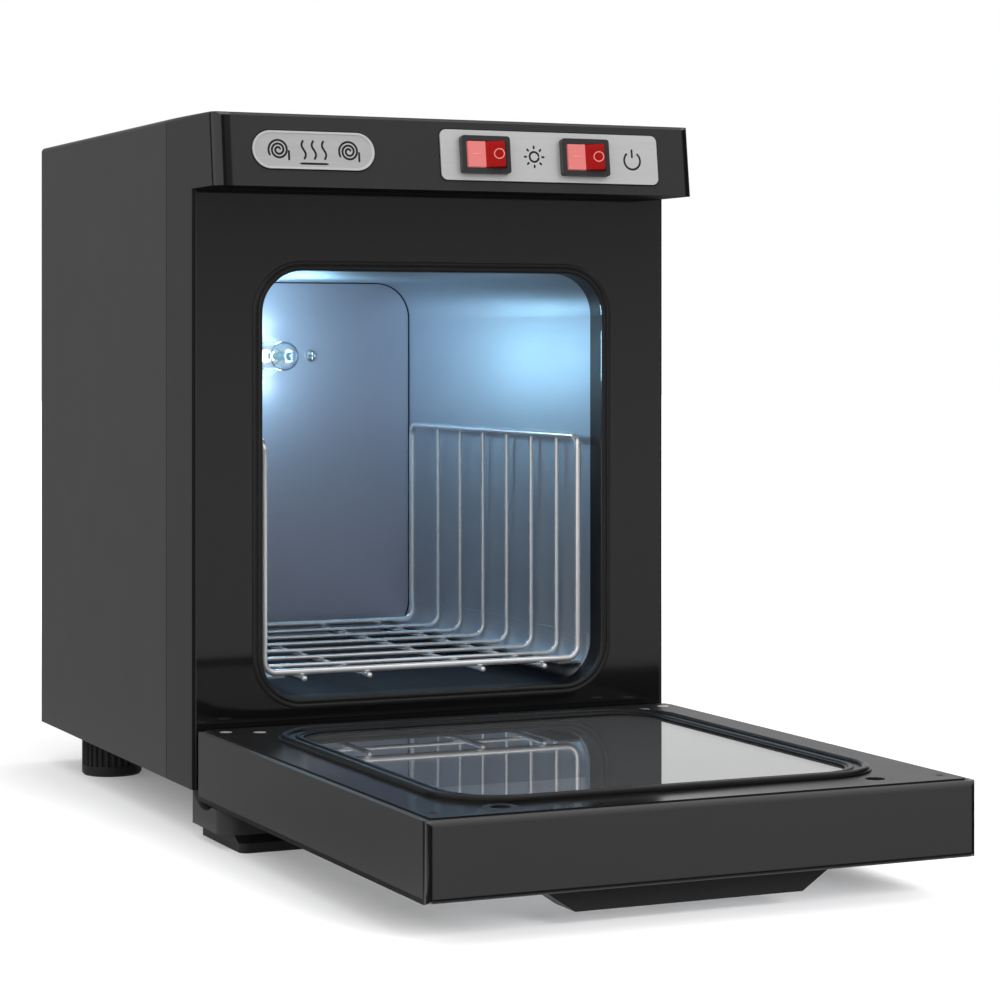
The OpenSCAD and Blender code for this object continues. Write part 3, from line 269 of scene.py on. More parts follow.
NEAR_FLOOR = 0.5
FAR_FLOOR = 1.3
floor_paper = Finish("floor_paper", {"Roughness": 1.0, "Specular IOR Level": 0.0, "Emission Strength": 1.0})
floor_seen = seen_directly(floor_paper.tree)
from_part = (floor_paper.axis("X") ** 2.0 + floor_paper.axis("Y") ** 2.0) ** 0.5
own_white = floor_paper.mix(floor_paper.step(from_part, NEAR_FLOOR, FAR_FLOOR), grey(0.17), grey(0.60))
floor_paper.feed("Base Color", floor_paper.mix(floor_seen, grey(0.14), grey(0.85)))
floor_paper.feed("Emission Color", floor_paper.mix(floor_seen, grey(0.0), own_white))
floor = stage_sheet("floor", (-6.0, -4.0, 0.0), (12.0, 0.0, 0.0), (0.0, 12.0, 0.0), floor_paper)
floor_group = bpy.data.collections.new("floor_group")
floor_group.objects.link(floor)
floor_lamp = soft_lamp("floor_lamp", place=(0.5, -2.5, 1.0), turn=(67.0, 0.0, 11.3), size=1.0, power=90.0)
floor_lamp.visible_glossy = False
floor_lamp.light_linking.receiver_collection = floor_group

upright_card("camera_card", (-0.60, -2.30), (0.58, -2.30), (0.0, 1.6), 0.0, 0.0)
upright_card("header_card", (0.58, -2.295), (0.72, -2.295), (0.40, 1.6), 0.0, 0.0)
upright_card("front_card", (0.58, -2.30), (2.40, -2.30), (0.0, 1.6), 0.60, 0.32)
floor_card("front_floor_card", (-1.90, 2.40), (-2.31, -0.27), 0.001, 0.60)
upright_card("right_card", (2.30, -2.20), (2.30, 1.60), (0.0, 1.4), 0.0, 0.0)
upright_card("left_dark_card", (-1.73, 1.00), (-0.94, 1.77), (0.0, 1.4), 0.0, 0.0)
upright_card("left_grey_card", (-0.90, 2.00), (-0.05, 2.20), (0.0, 1.6), 0.30, 0.30)
floor_card("left_floor_card", (-2.00, -0.12), (-0.20, 2.20), 0.001, 0.30)
floor_card("door_corner_card", (-0.90, 0.05), (-1.10, -0.33), 0.002, 0.0)
floor_card("door_front_card", (-0.18, 0.40), (-0.42, -0.235), 0.003, 0.0)
floor_card("door_left_card", (-0.32, -0.12), (-0.17, 0.05), 0.002, 0.0)
floor_card("door_right_card", (0.115, 0.515), (-0.235, 0.065), 0.002, 0.0)
soft_lamp("overhead", place=(0.1, 0.1, 1.9), turn=(0.0, 0.0, 0.0), size=2.2, power=8.0)
left_softbox = soft_lamp("left_softbox", place=(-1.6, -1.3, 1.0), turn=(62.0, 0.0, -50.0), size=1.0,
                         power=7.0)
left_softbox.visible_glossy = False

world = bpy.data.worlds.new("dome")
world.use_nodes = True
bpy.context.scene.world = world
bpy.context.scene.view_settings.view_transform = "Standard"
dome = world.node_tree.nodes["Background"]
dome.inputs["Color"].default_value = (1.0, 1.0, 1.0, 1.0)
dome.inputs["Strength"].default_value = 1.0


# Casing: one bent steel sheet over the sides and top, a flat rear sheet and a base pan, screwed together.
# All three are powder coated in a satin dark grey with a faint orange peel.
# A rubber gland sits in the rear sheet.
def satin_coat(name, dark, light, rough, gloss):
    """Powder coat: colour drifts slowly between two greys, roughness a little, over a fine orange peel."""
    coat = Finish(name, {"Specular IOR Level": gloss})
    coat.colour(grey(dark), grey(light), 9.0)
    coat.roughness(rough, 0.06, 40.0)
    coat.relief(coat.noise(1400.0, 1.0), 0.00004)
    return coat


casing_coat = satin_coat("casing_coat", 0.064, 0.070, 0.45, 0.16)
casing_coat.put_on("case_wrap", "rear_panel", "base_pan")

bright_steel = Finish("bright_steel", {"Metallic": 1.0})
bright_steel.colour(grey(0.58), grey(0.70), 260.0)
bright_steel.roughness(0.24, 0.14, 800.0)
bright_steel.put_on("case_screws")

foot_rubber = Finish("foot_rubber", {"Specular IOR Level": 0.35})
foot_rubber.colour(grey(0.005), grey(0.009), 120.0)
foot_rubber.roughness(0.55, 0.15, 500.0)
foot_rubber.relief(foot_rubber.noise(1800.0, 1.0), 0.00003)
foot_rubber.put_on("cord_gland")

# Moulded front: one plastic moulding with overhanging fascia, flat front plate and the opening's collar.
# Fascia and sides are satin, and the front plate is polished darker. Rounded edges and the face under the
# fascia are painted deep black as shade and dark reflections, a thin painted shadow rings the plates'
# recesses, and the collar is painted darker towards its foot as shade.
# A trim with two beads edges the opening. Steel strike plates for the door's magnets sit behind the front.
# Painted shade: black laid where shade and dark reflections fall, on rounded edges, the door's lower edge
# and under the fascia.
PAINTED_SHADE_BLACK = grey(0.004)
FULL_BLACK_SHARE = 0.8


def rounded_edge(finish, beside, behind, radius, reach=0.0):
    """1 on a rounded edge, which lies within its radius of two faces.
    It stays 1 for `reach` past the edge on the second face."""
    full = FULL_BLACK_SHARE * radius
    return finish.step(beside, radius + reach, full + reach) * finish.step(behind, radius, full)


def outside(right, up, half_width, half_height, radius):
    """Distance outside a rounded rectangle: the length of what |right| and |up| have beyond
    its straight parts, less the radius."""
    over_right = (abs(right) - (half_width - radius)).at_least(0.0)
    over_up = (abs(up) - (half_height - radius)).at_least(0.0)
    return (over_right * over_right + over_up * over_up) ** 0.5 - radius


def middle(node):
    """Middle of a node's box."""
    low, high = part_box(node)
    return (np.array(low) + np.array(high)) / 2


X_AXIS = np.array((1.0, 0.0, 0.0))
rocker_joints = [joint for joint in frame["joints"] if joint["child"] != "door"]
FASCIA_UP = np.array(rocker_joints[0]["axis"])
FASCIA_OUT = np.cross(X_AXIS, FASCIA_UP)
PIVOT_PROUD = 0.00125
fascia_face = np.array(rocker_joints[0]["pos_m"]) - PIVOT_PROUD * FASCIA_OUT
HALF_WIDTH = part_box("front_frame")[1][0]
FRONT_PLANE = 0.00295
FRAME_DEPTH = 0.0202
FACE_TOLERANCE = 0.0005
FASCIA_FOOT = 0.2521
FASCIA_EDGE_R = 0.0045
FASCIA_PAINTED_DARK_REACH = 0.0029
PLATE_EDGE_R = 0.0012
BADGE_SIZE = (0.0502, 0.0148)
PLATE_SIZE = (0.0960, 0.0202)
PLATE_CORNER_R = 0.0026
RECESS_SHADOW_OUT = 0.0006
RECESS_SHADOW_FULL = 0.0003
COLLAR_START = 0.0002
COLLAR_FULL = 0.0006
COLLAR_INSET = 0.0048
COLLAR_PAINTED_SHADE_BELOW = 0.11
COLLAR_UNSHADED_ABOVE = 0.20


def past_plate(finish, node, size, radius):
    """Distance outside the outline of a plate on the fascia."""
    return outside(finish.along(X_AXIS, middle(node)), finish.along(FASCIA_UP, fascia_face),
                   size[0] / 2, size[1] / 2, radius)


front = Finish("front_finish", {"Specular IOR Level": 0.14, "Coat Roughness": 0.06})
beside = HALF_WIDTH - abs(front.axis("X"))
on_fascia = front.axis("Z") > FASCIA_FOOT
off_fascia = 1 - on_fascia
behind_fascia = front.along(-FASCIA_OUT, fascia_face)
behind_plate = front.axis("Y") - FRONT_PLANE
# Painted shade: the face under the fascia's overhang is painted deep black and made matt.
underside_painted_shade = off_fascia * (behind_plate < -FACE_TOLERANCE)
polished = (off_fascia * (1 - underside_painted_shade) * (behind_plate < FRAME_DEPTH)
            * front.step(beside, PLATE_EDGE_R, 1.5 * PLATE_EDGE_R))
# Painted dark reflections and shade: the rounded edges of fascia and front plate, and a strip past the
# fascia's left end, are painted deep black under a clear coat.
fascia_edge_painted_dark = on_fascia * rounded_edge(front, beside, behind_fascia, FASCIA_EDGE_R)
plate_edge_painted_dark = off_fascia * rounded_edge(front, beside, behind_plate, PLATE_EDGE_R)
left_strip_painted_dark = on_fascia * rounded_edge(front, front.axis("X") + HALF_WIDTH, behind_fascia,
                                      FASCIA_EDGE_R, FASCIA_PAINTED_DARK_REACH)
badge_gap = past_plate(front, "badge_plate", BADGE_SIZE, BADGE_SIZE[1] / 2)
plate_gap = past_plate(front, "switch_plate", PLATE_SIZE, PLATE_CORNER_R)
# Painted shadow: a thin dark line rings the recesses of the badge and the switch plate.
badge_recess_painted_shadow = front.step(badge_gap, RECESS_SHADOW_OUT, RECESS_SHADOW_FULL)
plate_recess_painted_shadow = front.step(plate_gap, RECESS_SHADOW_OUT, RECESS_SHADOW_FULL)
in_opening = off_fascia * front.step(behind_plate, COLLAR_START, COLLAR_FULL) * (beside > COLLAR_INSET)
# Painted shade: the collar is painted near black low down and lighter higher up.
collar_painted_shade_fade = front.step(front.axis("Z"), COLLAR_PAINTED_SHADE_BELOW, COLLAR_UNSHADED_ABOVE)
glossy = fascia_edge_painted_dark.at_least(left_strip_painted_dark)
front.feed("Base Color", front.mix(polished, grey(0.0435), grey(0.003)))
front.cover(on_fascia * badge_recess_painted_shadow.at_least(plate_recess_painted_shadow), grey(0.003))
front.cover(in_opening, front.mix(collar_painted_shade_fade, grey(0.006), grey(0.055)))
front.cover(glossy.at_least(plate_edge_painted_dark).at_least(underside_painted_shade), PAINTED_SHADE_BLACK)
front.feed("Roughness", 0.40 + 0.05 * front.noise(45.0) + 0.50 * underside_painted_shade)
front.feed("Coat Weight", glossy.at_least(polished * (1 - in_opening)))
front.relief(front.noise(1300.0, 1.0), 0.00002)
front.put_on("front_frame")

trim_finish = Finish("trim_finish", {"Specular IOR Level": 0.2})
trim_finish.colour(grey(0.018), grey(0.024), 60.0)
trim_finish.roughness(0.30, 0.10, 160.0)
trim_finish.put_on("opening_trim")
bright_steel.put_on("strike_plates")


# Badge and switch plates: thin stampings, painted silver, in shallow recesses of the fascia.
# The badge has a raised rim. Plain signs are printed on both: rolls with rising warmth on the badge, and a
# lamp and the usual mains sign beside the switches.
def silver_paint(name, dark, light):
    """Silver paint with a fine grain, drawn out along x as if brushed."""
    paint = Finish(name, {"Metallic": 0.55, "Specular IOR Level": 0.5})
    grain = paint.noise(900.0, stretch=(30.0, 1.0, 1.0))
    paint.feed("Base Color", paint.mix(grain, grey(dark), grey(light)))
    paint.feed("Roughness", 0.36 + 0.08 * grain)
    paint.relief(paint.noise(2600.0, 1.0), 0.00001)
    return paint


RIM_WIDTH = 0.0008
RIM_BLUR = 0.0002
plate_paint = silver_paint("plate_paint", 0.77, 0.85)
plate_paint.put_on("switch_plate")
badge_paint = silver_paint("badge_paint", 0.66, 0.75)
past_badge = past_plate(badge_paint, "badge_plate", BADGE_SIZE, BADGE_SIZE[1] / 2)
badge_paint.cover(badge_paint.step(past_badge, -RIM_WIDTH - RIM_BLUR, -RIM_WIDTH), grey(0.86))
badge_paint.put_on("badge_plate")

END_WIDTH_SHARE = 0.02


def stroke(path, half_width, lift, closed=False):
    """Printed or raised line: across the path, s from -1 to 1, it lies s * half_width beside the path and
    stands lift * (1 - s^4) above the surface. An open path narrows to round ends.
    Gives x, up and out for each point."""
    if closed:
        along = np.roll(path, -1, axis=0) - np.roll(path, 1, axis=0)
        width = np.full(len(path), half_width)
    else:
        along = np.gradient(path, axis=0)
        run = np.concatenate([[0.0], np.cumsum(np.linalg.norm(np.diff(path, axis=0), axis=1))])
        from_end = np.clip(np.minimum(run, run[-1] - run) / half_width, 0.0, 1.0)
        width = half_width * (np.sqrt(1.0 - (1.0 - from_end) ** 2) + END_WIDTH_SHARE)
    side = np.stack([-along[:, 1], along[:, 0]], axis=-1) / np.linalg.norm(along, axis=1, keepdims=True)
    s = np.linspace(1.0, -1.0, 7)
    flat = path[:, None, :] + s[None, :, None] * (side * width[:, None])[:, None, :]
    out = np.broadcast_to(lift * (1.0 - s**4), flat.shape[:2])
    return np.concatenate([flat, out[..., None]], axis=-1)


def on_plane(grid, origin, x_axis, up_axis, out_axis):
    """Places on the part of points given on a plane: origin + x + up + out, each along its axis."""
    return origin + grid[..., 0:1] * x_axis + grid[..., 1:2] * up_axis + grid[..., 2:3] * out_axis


def arc(centre, radius, first, last, count=49):
    """Points of a circle's arc between two angles in degrees, counted from x towards up."""
    angle = np.radians(np.linspace(first, last, count))
    return np.stack([centre[0] + radius * np.cos(angle), centre[1] + radius * np.sin(angle)], axis=-1)


def line(start, end, count=13):
    """Evenly spaced points from start to end."""
    return np.linspace(np.array(start), np.array(end), count)


def spiral(centre, inner, outer, turns, count=160):
    """Arm of a rolled sheet: the radius grows evenly from inner to outer over the turns."""
    share = np.linspace(0.0, 1.0, count)
    radius = inner + (outer - inner) * share
    angle = 2 * np.pi * turns * share
    return np.stack([centre[0] + radius * np.cos(angle), centre[1] + radius * np.sin(angle)], axis=-1)


def wave(x, low, high, swing, count=40):
    """Rising warmth: x swings as one sine period between two heights."""
    share = np.linspace(0.0, 1.0, count)
    return np.stack([x + swing * np.sin(2 * np.pi * share), low + (high - low) * share], axis=-1)


PLATE_THICKNESS = 0.001
INK_HALF_WIDTH = 0.00042
INK_LIFT = 0.00004
ink = Finish("printing_ink", {"Specular IOR Level": 0.4})
ink.colour(grey(0.008), grey(0.016), 500.0)
ink.roughness(0.45, 0.15, 900.0)


def printed(name, node, sunk, paths):
    """Ink strokes on the face of a plate, which lies half its thickness out of its middle,
    less any sunk depth."""
    face = middle(node) + FASCIA_OUT * (PLATE_THICKNESS / 2 - sunk)
    strokes = [stroke(path, INK_HALF_WIDTH, INK_LIFT) for path in paths]
    made = sheet_object(name, [on_plane(grid, face, X_AXIS, FASCIA_UP, FASCIA_OUT) for grid in strokes])
    made.data.materials.append(ink.material)
    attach(made, "cabinet")


BADGE_SUNK = 0.0003
ROLL_X = 0.0145
ROLL_CORE_R = 0.0006
ROLL_R = 0.0042
ROLL_TURNS = 2.6
WAVE_X = 0.0042
WAVE_LOW = -0.0036
WAVE_HIGH = 0.0040
WAVE_SWING = 0.0008
BASE_HALF_LENGTH = 0.0062
BASE_UP = -0.0052
roll_places = (-ROLL_X, ROLL_X)
badge_paths = [spiral((x, 0.0), ROLL_CORE_R, ROLL_R, ROLL_TURNS) for x in roll_places]
badge_paths += [line((x + ROLL_R, 0.0), (x + ROLL_R, -ROLL_R)) for x in roll_places]
badge_paths += [wave(x, WAVE_LOW, WAVE_HIGH, WAVE_SWING) for x in (-WAVE_X, 0.0, WAVE_X)]
badge_paths += [line((-BASE_HALF_LENGTH, BASE_UP), (BASE_HALF_LENGTH, BASE_UP))]
printed("badge_sign", "badge_plate", BADGE_SUNK, badge_paths)

LAMP_SIGN_X = 0.0312
LAMP_SIGN_R = 0.0020
RAY_START = 0.0031
RAY_END = 0.0046
RAY_TURN = 45
MAINS_SIGN_X = 0.0751
MAINS_RING_UP = -0.0004
MAINS_RING_R = 0.0036
MAINS_RING_ENDS = (125, 415)
MAINS_DASH_LOW = 0.0006
MAINS_DASH_HIGH = 0.0044
plate_middle = middle("switch_plate")[0]
lamp_place = np.array((LAMP_SIGN_X - plate_middle, 0.0))
ray_angles = np.radians(np.arange(0, 360, RAY_TURN))
ray_ways = np.stack([np.cos(ray_angles), np.sin(ray_angles)], axis=-1)
lamp_paths = [arc(lamp_place, LAMP_SIGN_R, 0, 359)]
lamp_paths += [line(lamp_place + RAY_START * way, lamp_place + RAY_END * way) for way in ray_ways]
printed("lamp_sign", "switch_plate", 0.0, lamp_paths)
mains_x = MAINS_SIGN_X - plate_middle
mains_paths = [arc((mains_x, MAINS_RING_UP), MAINS_RING_R, *MAINS_RING_ENDS)]
mains_paths += [line((mains_x, MAINS_DASH_LOW), (mains_x, MAINS_DASH_HIGH))]
printed("mains_sign", "switch_plate", 0.0, mains_paths)

# Switches: two snap-in switches with black housings, brass terminals and lit red rockers on trunnions.
# Each rocker has a raised dash on its pressed side, and a raised ring among fine grip ridges on the other.
housing_plastic = Finish("housing_plastic", {"Specular IOR Level": 0.45})
housing_plastic.colour(grey(0.026), grey(0.036), 120.0)
housing_plastic.roughness(0.38, 0.12, 700.0)
housing_plastic.relief(housing_plastic.noise(3000.0, 1.0), 0.00001)
housing_plastic.put_on("uv_switch_housing", "power_switch_housing")

brass = Finish("brass", {"Metallic": 1.0})
brass.colour((0.62, 0.42, 0.16, 1.0), (0.72, 0.52, 0.24, 1.0), 300.0)
brass.roughness(0.30, 0.15, 500.0)
brass.put_on("switch_terminals")

ROCKER_TILT = np.radians(10.0)
ROCKER_CREST = 0.0022
ROCKER_FACET = 0.0081
ROCKER_HEIGHT = 0.0102
PRESSED_START = -0.0004
PRESSED_END = -0.012
rocker_pivots = {joint["child"]: np.array(joint["pos_m"]) for joint in rocker_joints}

red_plastic = Finish("red_plastic", {"Specular IOR Level": 0.06, "Emission Strength": 1.0})
beside_pivots = [red_plastic.axis("X") - float(pivot[0]) for pivot in rocker_pivots.values()]
pressed_half = sum((near < PRESSED_START) * (near > PRESSED_END) for near in beside_pivots)
rocker_colour = red_plastic.mix(pressed_half, (0.38, 0.008, 0.007, 1.0), (0.60, 0.18, 0.17, 1.0))
rocker_glow = red_plastic.mix(pressed_half, (0.05, 0.002, 0.002, 1.0), (0.31, 0.08, 0.08, 1.0))
red_plastic.feed("Base Color", rocker_colour)
red_plastic.feed("Emission Color", rocker_glow)
red_plastic.roughness(0.30, 0.10, 600.0)
red_plastic.put_on("uv_rocker", "power_rocker")

pale_mark = Finish("pale_mark", {"Specular IOR Level": 0.5, "Emission Strength": 1.0})
mark_glow = pale_mark.mix(pale_mark.noise(400.0), (0.10, 0.03, 0.03, 1.0), (0.14, 0.04, 0.04, 1.0))
pale_mark.colour((0.80, 0.26, 0.22, 1.0), (0.88, 0.34, 0.30, 1.0), 800.0)
pale_mark.feed("Emission Color", mark_glow)
pale_mark.roughness(0.35, 0.1, 900.0)


def facet_axes(angle):
    """Axes of a rocker facet that leans by an angle from the fascia towards the right end."""
    along = np.cos(angle) * X_AXIS + np.sin(angle) * FASCIA_OUT
    out = np.cos(angle) * FASCIA_OUT - np.sin(angle) * X_AXIS
    return along, FASCIA_UP, out


RIDGE_COUNT = 8
RIDGE_LIFT = 0.00022
RIDGE_HALF_LENGTH = 0.46 * ROCKER_HEIGHT
RIDGE_START = 0.0006
RIDGE_END = ROCKER_FACET - 0.0003
RIDGE_ROUNDNESS = 0.6
RIDGE_FADE = 12


def ridges():
    """Grip ridges across a facet: the sheet stands lift * |sin(pi * count * u)|^roundness above it, u along
    the facet, times 1 - |v|^fade, which sinks it to the facet at its upper and lower ends, v = -1 and 1."""
    u, v = np.meshgrid(np.linspace(0, 1, 12 * RIDGE_COUNT + 1), np.linspace(-1, 1, 25), indexing="ij")
    fade = 1.0 - np.abs(v) ** RIDGE_FADE
    lift = RIDGE_LIFT * np.abs(np.sin(np.pi * RIDGE_COUNT * u)) ** RIDGE_ROUNDNESS * fade
    along = RIDGE_START + (RIDGE_END - RIDGE_START) * u
    return np.stack([along, v * RIDGE_HALF_LENGTH, lift], axis=-1)[:, ::-1]


MARK_HALF_WIDTH = 0.0003
DASH_START = -0.0056
DASH_END = -0.0020
DASH_LIFT = 0.00012
RING_X = 0.0054
RING_R = 0.00195
RING_LIFT = 0.00026
RING_POINTS = 48
dash_path = line((DASH_START, 0.0), (DASH_END, 0.0), 25)
ring_path = arc((RING_X, 0.0), RING_R, 0, 360 - 360 / RING_POINTS, RING_POINTS)
dash = stroke(dash_path, MARK_HALF_WIDTH, DASH_LIFT)
ring = stroke(ring_path, MARK_HALF_WIDTH, RING_LIFT, closed=True)
pressed = facet_axes(0.0)
raised = facet_axes(2 * ROCKER_TILT)
for body, pivot in rocker_pivots.items():
    label = body.replace("_body", "")
    valley = pivot + ROCKER_CREST * (np.cos(ROCKER_TILT) * FASCIA_OUT - np.sin(ROCKER_TILT) * X_AXIS)
    grip = sheet_object(label + "_ridges", [on_plane(ridges(), valley, *raised)])
    grip.data.materials.append(red_plastic.material)
    marks = [sheet_object(label + "_dash", [on_plane(dash, valley, *pressed)]),
             sheet_object(label + "_ring", [on_plane(ring, valley, *raised)], closed=True)]
    for mark in marks:
        mark.data.materials.append(pale_mark.material)
    for piece in (grip, *marks):
        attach(piece, body)


# Chamber: a folded aluminium tube, its floor painted dark as shade, and a back plate.
# Heater and controls sit below it.
# A fibre blanket lies over its sides and top, and the lamp's driver and the terminals sit on the base pan.
def rolled_sheet(name, dark, light, rough):
    """Rolled aluminium: colour drifts between two tones, and streaks along y vary roughness and relief."""
    sheet = Finish(name, {"Metallic": 1.0, "Specular IOR Level": 0.1})
    streaks = sheet.noise(700.0, stretch=(1.0, 40.0, 1.0))
    sheet.colour(dark, light, 14.0)
    sheet.feed("Roughness", rough + 0.10 * streaks + 0.06 * sheet.noise(20.0))
    sheet.relief(streaks, 0.00001)
    return sheet


Z_AXIS = np.array((0.0, 0.0, 1.0))
BACK_LAP = 0.003
CHAMBER_CORNER_R = 0.017
SEAM_WIDTH = 0.0007
SEAM_BLUR = 0.0003
back_low, back_high = (np.array(end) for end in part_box("chamber_back_plate"))
back_middle = (back_low + back_high) / 2
chamber_half = (back_high - back_low) / 2 - BACK_LAP


def darken_seam(sheet):
    """Dark line where the tube meets the back plate: close to the plate and close to the tube's section."""
    from_wall = outside(sheet.along(X_AXIS, back_middle), sheet.along(Z_AXIS, back_middle),
                        float(chamber_half[0]), float(chamber_half[2]), CHAMBER_CORNER_R)
    before_back = float(back_low[1]) - sheet.axis("Y")
    seam = (sheet.step(before_back, SEAM_WIDTH, SEAM_WIDTH - SEAM_BLUR)
            * sheet.step(from_wall, -SEAM_WIDTH, SEAM_BLUR - SEAM_WIDTH))
    sheet.cover(seam, (0.04, 0.05, 0.07, 1.0))


FLOOR_SHADE_START = 0.006
FLOOR_SHADE_FULL = 0.001
liner_sheet = rolled_sheet("liner_sheet", (0.55, 0.57, 0.60, 1.0), (0.61, 0.63, 0.66, 1.0), 0.42)
above_floor = liner_sheet.axis("Z") - float(back_low[2] + BACK_LAP)
# Painted shade: the tube's floor is painted near black and made non-metal.
floor_painted_shade = liner_sheet.step(above_floor, FLOOR_SHADE_START, FLOOR_SHADE_FULL)
liner_sheet.cover(floor_painted_shade, (0.010, 0.013, 0.018, 1.0))
liner_sheet.feed("Metallic", 1 - floor_painted_shade)
darken_seam(liner_sheet)
liner_sheet.put_on("chamber_liner")
back_sheet = rolled_sheet("back_sheet", (0.68, 0.64, 0.72, 1.0), (0.75, 0.71, 0.79, 1.0), 0.50)
darken_seam(back_sheet)
back_sheet.put_on("chamber_back_plate")

heater_skin = Finish("heater_skin", {"Metallic": 0.4})
heater_skin.colour((0.24, 0.10, 0.05, 1.0), (0.32, 0.15, 0.08, 1.0), 90.0)
heater_skin.roughness(0.5, 0.2, 200.0)
heater_skin.put_on("heater_plate")
bright_steel.put_on("thermostat", "thermal_cutout")

fibre = Finish("fibre", {"Specular IOR Level": 0.2})
fibre.colour((0.60, 0.57, 0.48, 1.0), (0.78, 0.75, 0.66, 1.0), 220.0, detail=4.0)
fibre.roughness(0.85, 0.1, 300.0)
fibre.relief(fibre.noise(500.0, 4.0), 0.0006)
fibre.put_on("insulation_blanket")

white_plastic = Finish("white_plastic", {"Specular IOR Level": 0.45})
white_plastic.colour(grey(0.70), grey(0.78), 80.0)
white_plastic.roughness(0.40, 0.12, 400.0)
white_plastic.put_on("lamp_driver", "terminal_block")

# Lamp: a clear domed bulb, lit blue-white, in a white socket that is screwed on through the back plate.
# A bare lamp in front of its tip lights the chamber, and two weak ones light the plate above and below it.
white_plastic.put_on("lamp_holder")
bright_steel.put_on("lamp_screws")

clear_glass = Finish("clear_glass", {"Transmission Weight": 1.0, "IOR": 1.45})
clear_glass.colour((0.86, 0.95, 1.0, 1.0), (0.92, 0.98, 1.0, 1.0), 200.0)
clear_glass.feed("Roughness", 0.02 * clear_glass.noise(300.0))
clear_glass.put_on("lamp_glass")

DARK_SHARE = 0.6
GLOW_BEFORE = 0.001
GLOW_AFTER = 0.003
lamp_glow = Finish("lamp_glow", {"Emission Strength": 5.0})
electrode_low, electrode_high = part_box("lamp_electrode")
hot_from = float((1 - DARK_SHARE) * electrode_low[1] + DARK_SHARE * electrode_high[1])
near_base = lamp_glow.step(lamp_glow.axis("Y"), hot_from - GLOW_BEFORE, hot_from + GLOW_AFTER)
lamp_glow.feed("Emission Color", lamp_glow.mix(near_base, (0.02, 0.05, 0.06, 1.0), (0.80, 0.94, 1.0, 1.0)))
lamp_glow.put_on("lamp_electrode")


def bare_lamp(name, place, colour, power, radius):
    """Point lamp of a given radius that isn't seen itself, neither straight nor through glass."""
    lamp = bpy.data.objects.new(name, bpy.data.lights.new(name, "POINT"))
    lamp.data.color = colour
    lamp.data.energy = power
    lamp.data.shadow_soft_size = radius
    lamp.location = place
    lamp.visible_camera = False
    lamp.visible_transmission = False
    bpy.context.scene.collection.objects.link(lamp)


TIP_GAP = 0.016
HALO_RISE = 0.013
HALO_RIGHT = 0.001
HALO_GAP = 0.012
bulb_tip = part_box("lamp_glass")[0][1]
bulb_middle = middle("lamp_glass")
tip_place = (bulb_middle[0], bulb_tip - TIP_GAP, bulb_middle[2])
bare_lamp("chamber_lamp", tip_place, colour=(0.37, 0.73, 1.0), power=0.11, radius=0.012)
for label, rise in (("upper", HALO_RISE), ("lower", -HALO_RISE)):
    halo_place = (bulb_middle[0] + HALO_RIGHT, back_low[1] - HALO_GAP, bulb_middle[2] + rise)
    bare_lamp(label + "_halo", halo_place, colour=(0.55, 0.86, 1.0), power=0.006, radius=0.003)

# Basket: chromed steel wire, welded: a heavy bent frame, U-shaped cross wires, four round-ended runners.
# It rests on two aluminium ledge strips on the chamber's side walls.
chrome = Finish("chrome", {"Metallic": 0.7, "Specular IOR Level": 0.6})
chrome.colour(grey(0.90), grey(0.96), 150.0)
chrome.roughness(0.18, 0.08, 500.0)
chrome.put_on("basket_frame", "basket_cross_wires", "basket_runners")
liner_sheet.put_on("basket_rails")

# Door: a moulded shell with a glossy inner panel, which clamps a tinted pane and holds seal and magnets.
# It hangs on two steel pins, and its handle is screwed on from inside. The shell's front corners and lower
# edge are painted deep black as shade and dark reflections, and the panel's polish dulls towards the right.
DOOR_EDGE_R = 0.0026
DOOR_FOOT_EDGE = 0.0019
shell_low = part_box("door_shell")[0]
door_coat = satin_coat("door_coat", 0.055, 0.060, 0.42, 0.18)
door_coat.shader.inputs["Coat Roughness"].default_value = 0.06
door_end = HALF_WIDTH - abs(door_coat.axis("X"))
door_depth = door_coat.axis("Y") - float(shell_low[1])
above_foot = door_coat.axis("Z") - float(shell_low[2])
# Painted dark reflections and shade: the shell's upright front corners and its lower edge are painted deep
# black; the corners also get a clear coat.
upright_edge_painted_dark = rounded_edge(door_coat, door_end, door_depth, DOOR_EDGE_R)
foot_edge_painted_shade = door_coat.step(above_foot, DOOR_FOOT_EDGE, FULL_BLACK_SHARE * DOOR_FOOT_EDGE)
door_coat.cover(upright_edge_painted_dark.at_least(foot_edge_painted_shade), PAINTED_SHADE_BLACK)
door_coat.feed("Coat Weight", upright_edge_painted_dark)
door_coat.put_on("door_shell")

handle_coat = satin_coat("handle_coat", 0.028, 0.032, 0.45, 0.20)
handle_coat.put_on("door_handle")
bright_steel.put_on("handle_screws", "hinge_pins")

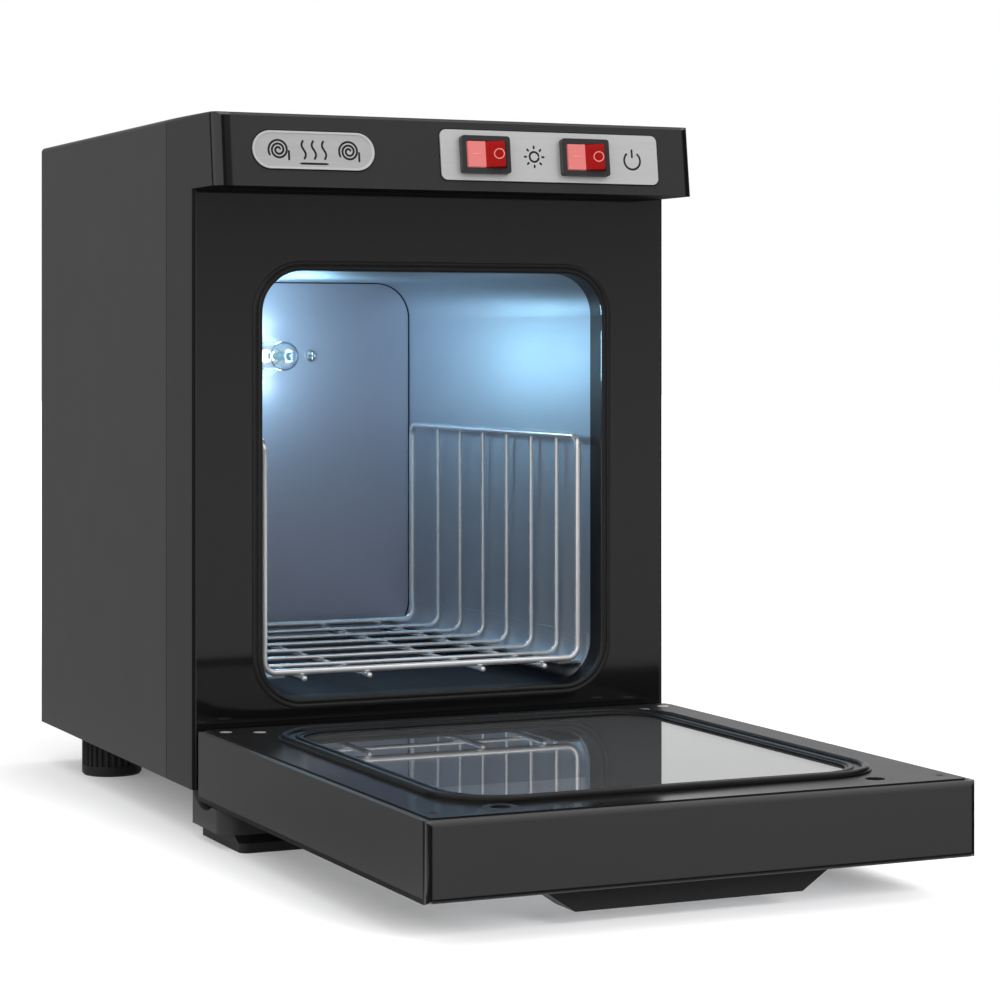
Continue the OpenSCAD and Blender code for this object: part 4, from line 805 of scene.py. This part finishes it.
DULL_START = -0.04
DULL_FULL = 0.08
gloss_black = Finish("gloss_black", {"Specular IOR Level": 0.16})
to_right = gloss_black.step(gloss_black.axis("X"), DULL_START, DULL_FULL)
gloss_black.colour(grey(0.010), grey(0.014), 30.0)
gloss_black.feed("Roughness", 0.12 + 0.24 * to_right + 0.04 * gloss_black.noise(60.0))
gloss_black.relief(gloss_black.noise(60.0, 1.0), 0.00004)
gloss_black.put_on("door_panel")

tinted_glass = Finish("tinted_glass", {"Transmission Weight": 0.9, "IOR": 1.45})
tinted_glass.colour((0.54, 0.55, 0.56, 1.0), (0.58, 0.59, 0.60, 1.0), 10.0)
tinted_glass.feed("Roughness", 0.01 * tinted_glass.noise(40.0))
tinted_glass.put_on("door_glass")

rubber = Finish("rubber", {"Specular IOR Level": 0.18})
rubber.colour(grey(0.005), grey(0.009), 90.0)
rubber.roughness(0.30, 0.10, 400.0)
rubber.relief(rubber.noise(1500.0, 1.0), 0.00001)
rubber.put_on("door_gasket")

panel_screw = Finish("panel_screw", {"Metallic": 0.7})
# Painted highlight and shade: the same screws are painted bright at the hinge end and dark at the free end.
hinge_end_painted_bright = panel_screw.axis("Y") > float(middle("door_panel")[1])
panel_screw.feed("Base Color", panel_screw.mix(hinge_end_painted_bright, grey(0.03), grey(0.80)))
panel_screw.roughness(0.42, 0.10, 800.0)
panel_screw.put_on("door_screws")

magnet_face = Finish("magnet_face", {"Metallic": 0.6})
magnet_face.colour(grey(0.02), grey(0.04), 400.0)
magnet_face.roughness(0.35, 0.2, 700.0)
magnet_face.put_on("door_magnets")

# Brackets and feet: a moulded hinge bracket with a rest for the open door, screwed under each front corner.
# A rubber pad lies below each bracket, and a ribbed round rubber foot is screwed under each rear corner.
bracket_coat = satin_coat("bracket_coat", 0.048, 0.053, 0.45, 0.18)
bracket_coat.put_on("hinge_bracket_left", "hinge_bracket_right")
foot_rubber.put_on("front_foot_left", "front_foot_right", "rear_foot_left", "rear_foot_right")
bright_steel.put_on("bracket_screws", "foot_screws")
